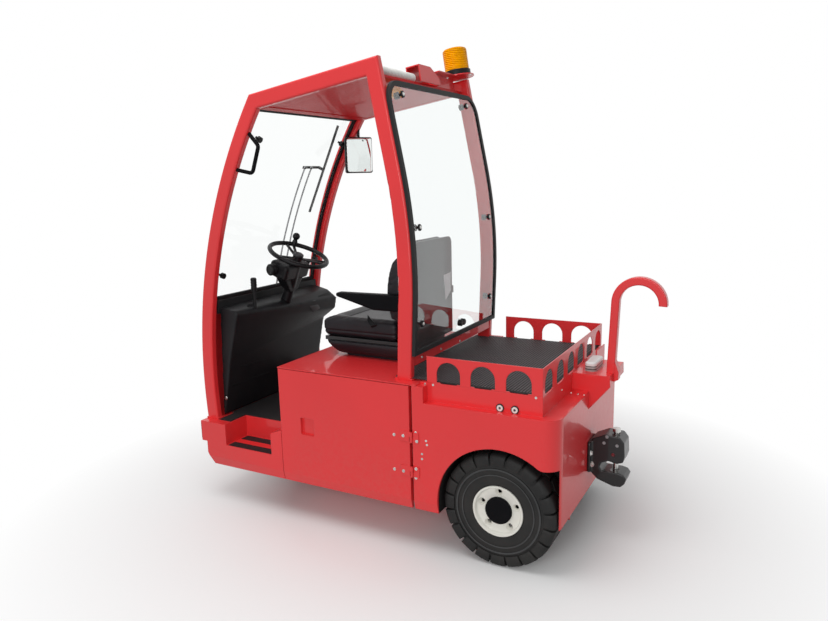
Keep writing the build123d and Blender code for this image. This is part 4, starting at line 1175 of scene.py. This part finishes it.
def latch_knobs():
    """The two knobs of the latch at the rear window's foot."""
    spot, facing = seen(460, 322, "rear_window")
    knob = disc(0.017, 0, 0.022, 0.004)
    for side_name, offset in (("right", -0.016), ("left", 0.016)):
        place = spot + Vector((0, offset, 0))
        aimed("latch_knob_" + side_name, knob, place, facing, "vehicle", black_plastic)


dress_buttons()
dress_headlamps()
panel_screws()
clamp_heads()
latch_knobs()

# %% Steering wheel and lever
def dress_steering():
    """What the steering wheel and its column carry. The wheel leans back by its rake."""
    rake, knob_turn = math.radians(22), math.radians(-42)
    axis = Vector((-math.sin(rake), 0, math.cos(rake)))
    ahead = Vector((math.cos(rake), 0, math.sin(rake)))
    left = Vector((0, 1, 0))
    centre = from_axle(1445, 0, 1331)
    knob_reach = 0.168
    spot = centre + knob_reach * (math.cos(knob_turn) * ahead + math.sin(knob_turn) * left)
    skirt = [(0.0085, -0.006), (0.020, -0.006), (0.0205, 0.004), (0.016, 0.018),
             (0.0105, 0.034), (0.0085, 0.034)]
    aimed("spinner_skirt", skirt, spot, axis, "steering_wheel", black_plastic)
    boss = [(hair, -0.008), (0.026, -0.008), (0.031, -0.004), (0.030, 0.004), (0.020, 0.010),
            (hair, 0.012)]
    aimed("steering_boss", boss, centre, axis, "steering_wheel", grey_plastic)
    folds = [(0.038 + 0.004 * (k % 2), -0.060 + 0.005 * k) for k in range(5)]
    gaiter = [(0.030, -0.060)] + folds + [(0.028, -0.038)]
    aimed("column_gaiter", gaiter, centre - 0.002 * axis, axis, "vehicle", black_plastic)
    drum = [(hair, 0), (0.030, 0), (0.034, 0.004), (0.034, 0.014), (0.031, 0.016), (0.031, 0.020),
            (0.034, 0.022), (0.034, 0.034), (0.028, 0.040), (0.020, 0.040), (0.018, 0.037),
            (hair, 0.037)]
    spot = centre + 0.058 * ahead - 0.105 * axis + 0.108 * left
    aimed("column_switch_drum", drum, spot, (0.25, 1, 0), "vehicle", black_plastic)


def lever_grip():
    """A grip with finger rings over the lever's upper end."""
    low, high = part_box("driver_controls")
    rings = [(0.0155 + 0.0025 * (k % 2), -0.062 + 0.0075 * k) for k in range(9)]
    section = [(hair, -0.066)] + rings + [(0.0150, 0.0005), (0.010, 0.0028), (hair, 0.0028)]
    lever_top = (low.x + 0.015, high.y - 0.015, high.z)
    aimed("lever_grip", section, lever_top, (0, 0, 1), "vehicle", black_plastic, 28)
    print("lever's top at", [round(v, 3) for v in lever_top])


dress_steering()
lever_grip()

# %% [markdown]
# ## The seat's lower shell and the dashboard's top edge
#
# Two moulded covers are fuller than a section drawn in one plane. The shell round the seat's
# base bulges below the cushion and tucks in at its foot, so it is a skin over rounded
# rectangles at eight heights. The rubber edge on the dashboard hides the front panel's top.

# %% Rounded rectangles as loops
def rounded_rectangle(x0, x1, y0, y1, corner, height):
    """A level loop with round corners of six points each."""
    loop = []
    steps = 6
    for quarter in range(4):
        x = (x1 - corner) if quarter in (0, 3) else (x0 + corner)
        y = (y1 - corner) if quarter in (0, 1) else (y0 + corner)
        for k in range(steps):
            angle = math.pi / 2 * (quarter + k / (steps - 1))
            loop.append((x + corner * math.cos(angle), y + corner * math.sin(angle), height))
    return loop


def seat_shell():
    """One loop a row: (rise from the foot, in from the front, out at the sides, corner)."""
    low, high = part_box("seat_base")
    levels = [(0.000, 0.070, -0.020, 0.040), (0.018, 0.066, -0.018, 0.040), (0.019, 0.030, 0.006, 0.055),
              (0.024, 0.018, 0.014, 0.060), (0.045, -0.004, 0.026, 0.060), (0.068, -0.022, 0.031, 0.055),
              (0.080, -0.026, 0.030, 0.050), (0.0828, -0.024, 0.028, 0.048)]
    loops = []
    for rise, back, out, corner in levels:
        right, left = low.y - out, high.y + out
        rear, front = low.x + 0.006, high.x - back
        loops.append(rounded_rectangle(rear, front, right, left, corner, low.z + rise))
    shell = add_piece("seat_base_shell", skin("seat_base_shell", loops), seat_vinyl, "vehicle")
    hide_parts("seat_base")


def dash_edge():
    """A strip across the cab, drawn as (behind the front panel, up) pairs."""
    panel_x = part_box("front_panel")[0].x
    half_width = 0.452
    section = [(0.0085, 1.045), (0.0005, 1.045), (0.0005, 1.1175), (0.0045, 1.1185),
               (0.0085, 1.1150)]
    loops = [[(panel_x - x, y, z) for x, z in section] for y in (-half_width, half_width)]
    add_piece("dashboard_top_edge", skin("dashboard_top_edge", loops), seal_rubber, "vehicle")


seat_shell()
dash_edge()
print("shell and dashboard edge ready")

# %% [markdown]
# ## The mirror
#
# The inside mirror is a silvered pane in a black case. A Principled shader with full Metallic
# and hardly any roughness is all that a mirror needs; the real one shows a slice of the cab
# and the white studio, and so does this one.

# %% Mirror pane
def mirror_pane():
    """Three loops: the pane's back, its front edge and its slightly smaller face."""
    centre = from_axle(1300, -460, 1900)
    turn = Matrix.Translation(centre) @ Matrix.Rotation(math.radians(-35), 4, "Z")
    half_width, half_height, corner = 0.081, 0.101, 0.014
    outline = rounded_rectangle(-half_width, half_width, -half_height, half_height, corner, 0)
    loops = []
    for x, scale in ((-0.0155, 1.0), (-0.0182, 1.0), (-0.0188, 0.985)):
        loops.append([turn @ Vector((x, y * scale, z * scale)) for y, z, _ in outline])
    add_piece("mirror_pane", skin("mirror_pane", loops), mirror_silver, "vehicle")
    print("mirror at", [round(v, 3) for v in centre])


mirror_pane()

# %% [markdown]
# ## Floor and light
#
# A studio shot on white paper. One large soft lamp stands in for the studio's ceiling and
# another fills in from the left, and the world is an even grey. The camera, mirrors and glass
# see it as white. Away from the tug the paper glows, so that it fades into that white.

# %% Studio
def seen_white(tree):
    """1 for what the camera, a mirror or a pane sees, and 0 for light that falls on the tug."""
    path = tree.nodes.new("ShaderNodeLightPath")
    last = path.outputs["Is Camera Ray"]
    for kind in ("Is Glossy Ray", "Is Transmission Ray"):
        either = tree.nodes.new("ShaderNodeMath")
        either.operation = "MAXIMUM"
        tree.links.new(last, either.inputs[0])
        tree.links.new(path.outputs[kind], either.inputs[1])
        last = either.outputs[0]
    return last


def make_floor():
    mesh = bpy.data.meshes.new("floor")
    reach = 30
    corners = [(-reach, -reach, 0), (reach, -reach, 0), (reach, reach, 0), (-reach, reach, 0)]
    mesh.from_pydata(corners, [], [(0, 1, 2, 3)])
    floor = bpy.data.objects.new("floor", mesh)
    scene.collection.objects.link(floor)
    finish = Finish("white_paper", Base_Color=(0.9, 0.9, 0.9), Roughness=0.9)
    where = finish.place()
    distance = finish.node("VectorMath", {"operation": "LENGTH"}, {0: where}, out=1)
    white_share = Wire(finish, seen_white(finish.tree))
    shade = finish.mix(white_share, (0.3, 0.3, 0.3), (1, 1, 1))
    glow = finish.node("Emission", None, {"Color": shade, "Strength": 1.0})
    blend = finish.tree.nodes.new("ShaderNodeMixShader")
    finish.feed(blend.inputs[0], distance.above(0.8, 2.3))
    finish.tree.links.new(finish.shader.outputs[0], blend.inputs[1])
    finish.tree.links.new(glow.socket, blend.inputs[2])
    finish.tree.links.new(blend.outputs[0], finish.output.inputs[0])
    mesh.materials.append(finish.material)


def make_world():
    world = bpy.data.worlds.new("studio")
    scene.world = world
    world.use_nodes = True
    tree = world.node_tree
    back = tree.nodes["Background"]
    back.inputs["Color"].default_value = (1, 1, 1, 1)
    strength = tree.nodes.new("ShaderNodeMapRange")
    strength.inputs["To Min"].default_value = 0.4
    tree.links.new(seen_white(tree), strength.inputs["Value"])
    tree.links.new(strength.outputs["Result"], back.inputs["Strength"])


def lamp(name, place, aim, size, power):
    data = bpy.data.lights.new(name, "AREA")
    data.shape = "DISK"
    data.size = size
    data.energy = power
    light = bpy.data.objects.new(name, data)
    scene.collection.objects.link(light)
    light.location = place
    light.rotation_euler = (Vector(aim) - Vector(place)).to_track_quat("-Z", "Y").to_euler()


make_floor()
make_world()
lamp("ceiling", (0.6, 1.4, 5.0), (0, 0, 0.6), 3.0, 85)
lamp("left_fill", (-1.2, 5.6, 2.2), (0, 0, 0.9), 3.2, 105)
scene.view_settings.view_transform = "Standard"
print("studio ready")
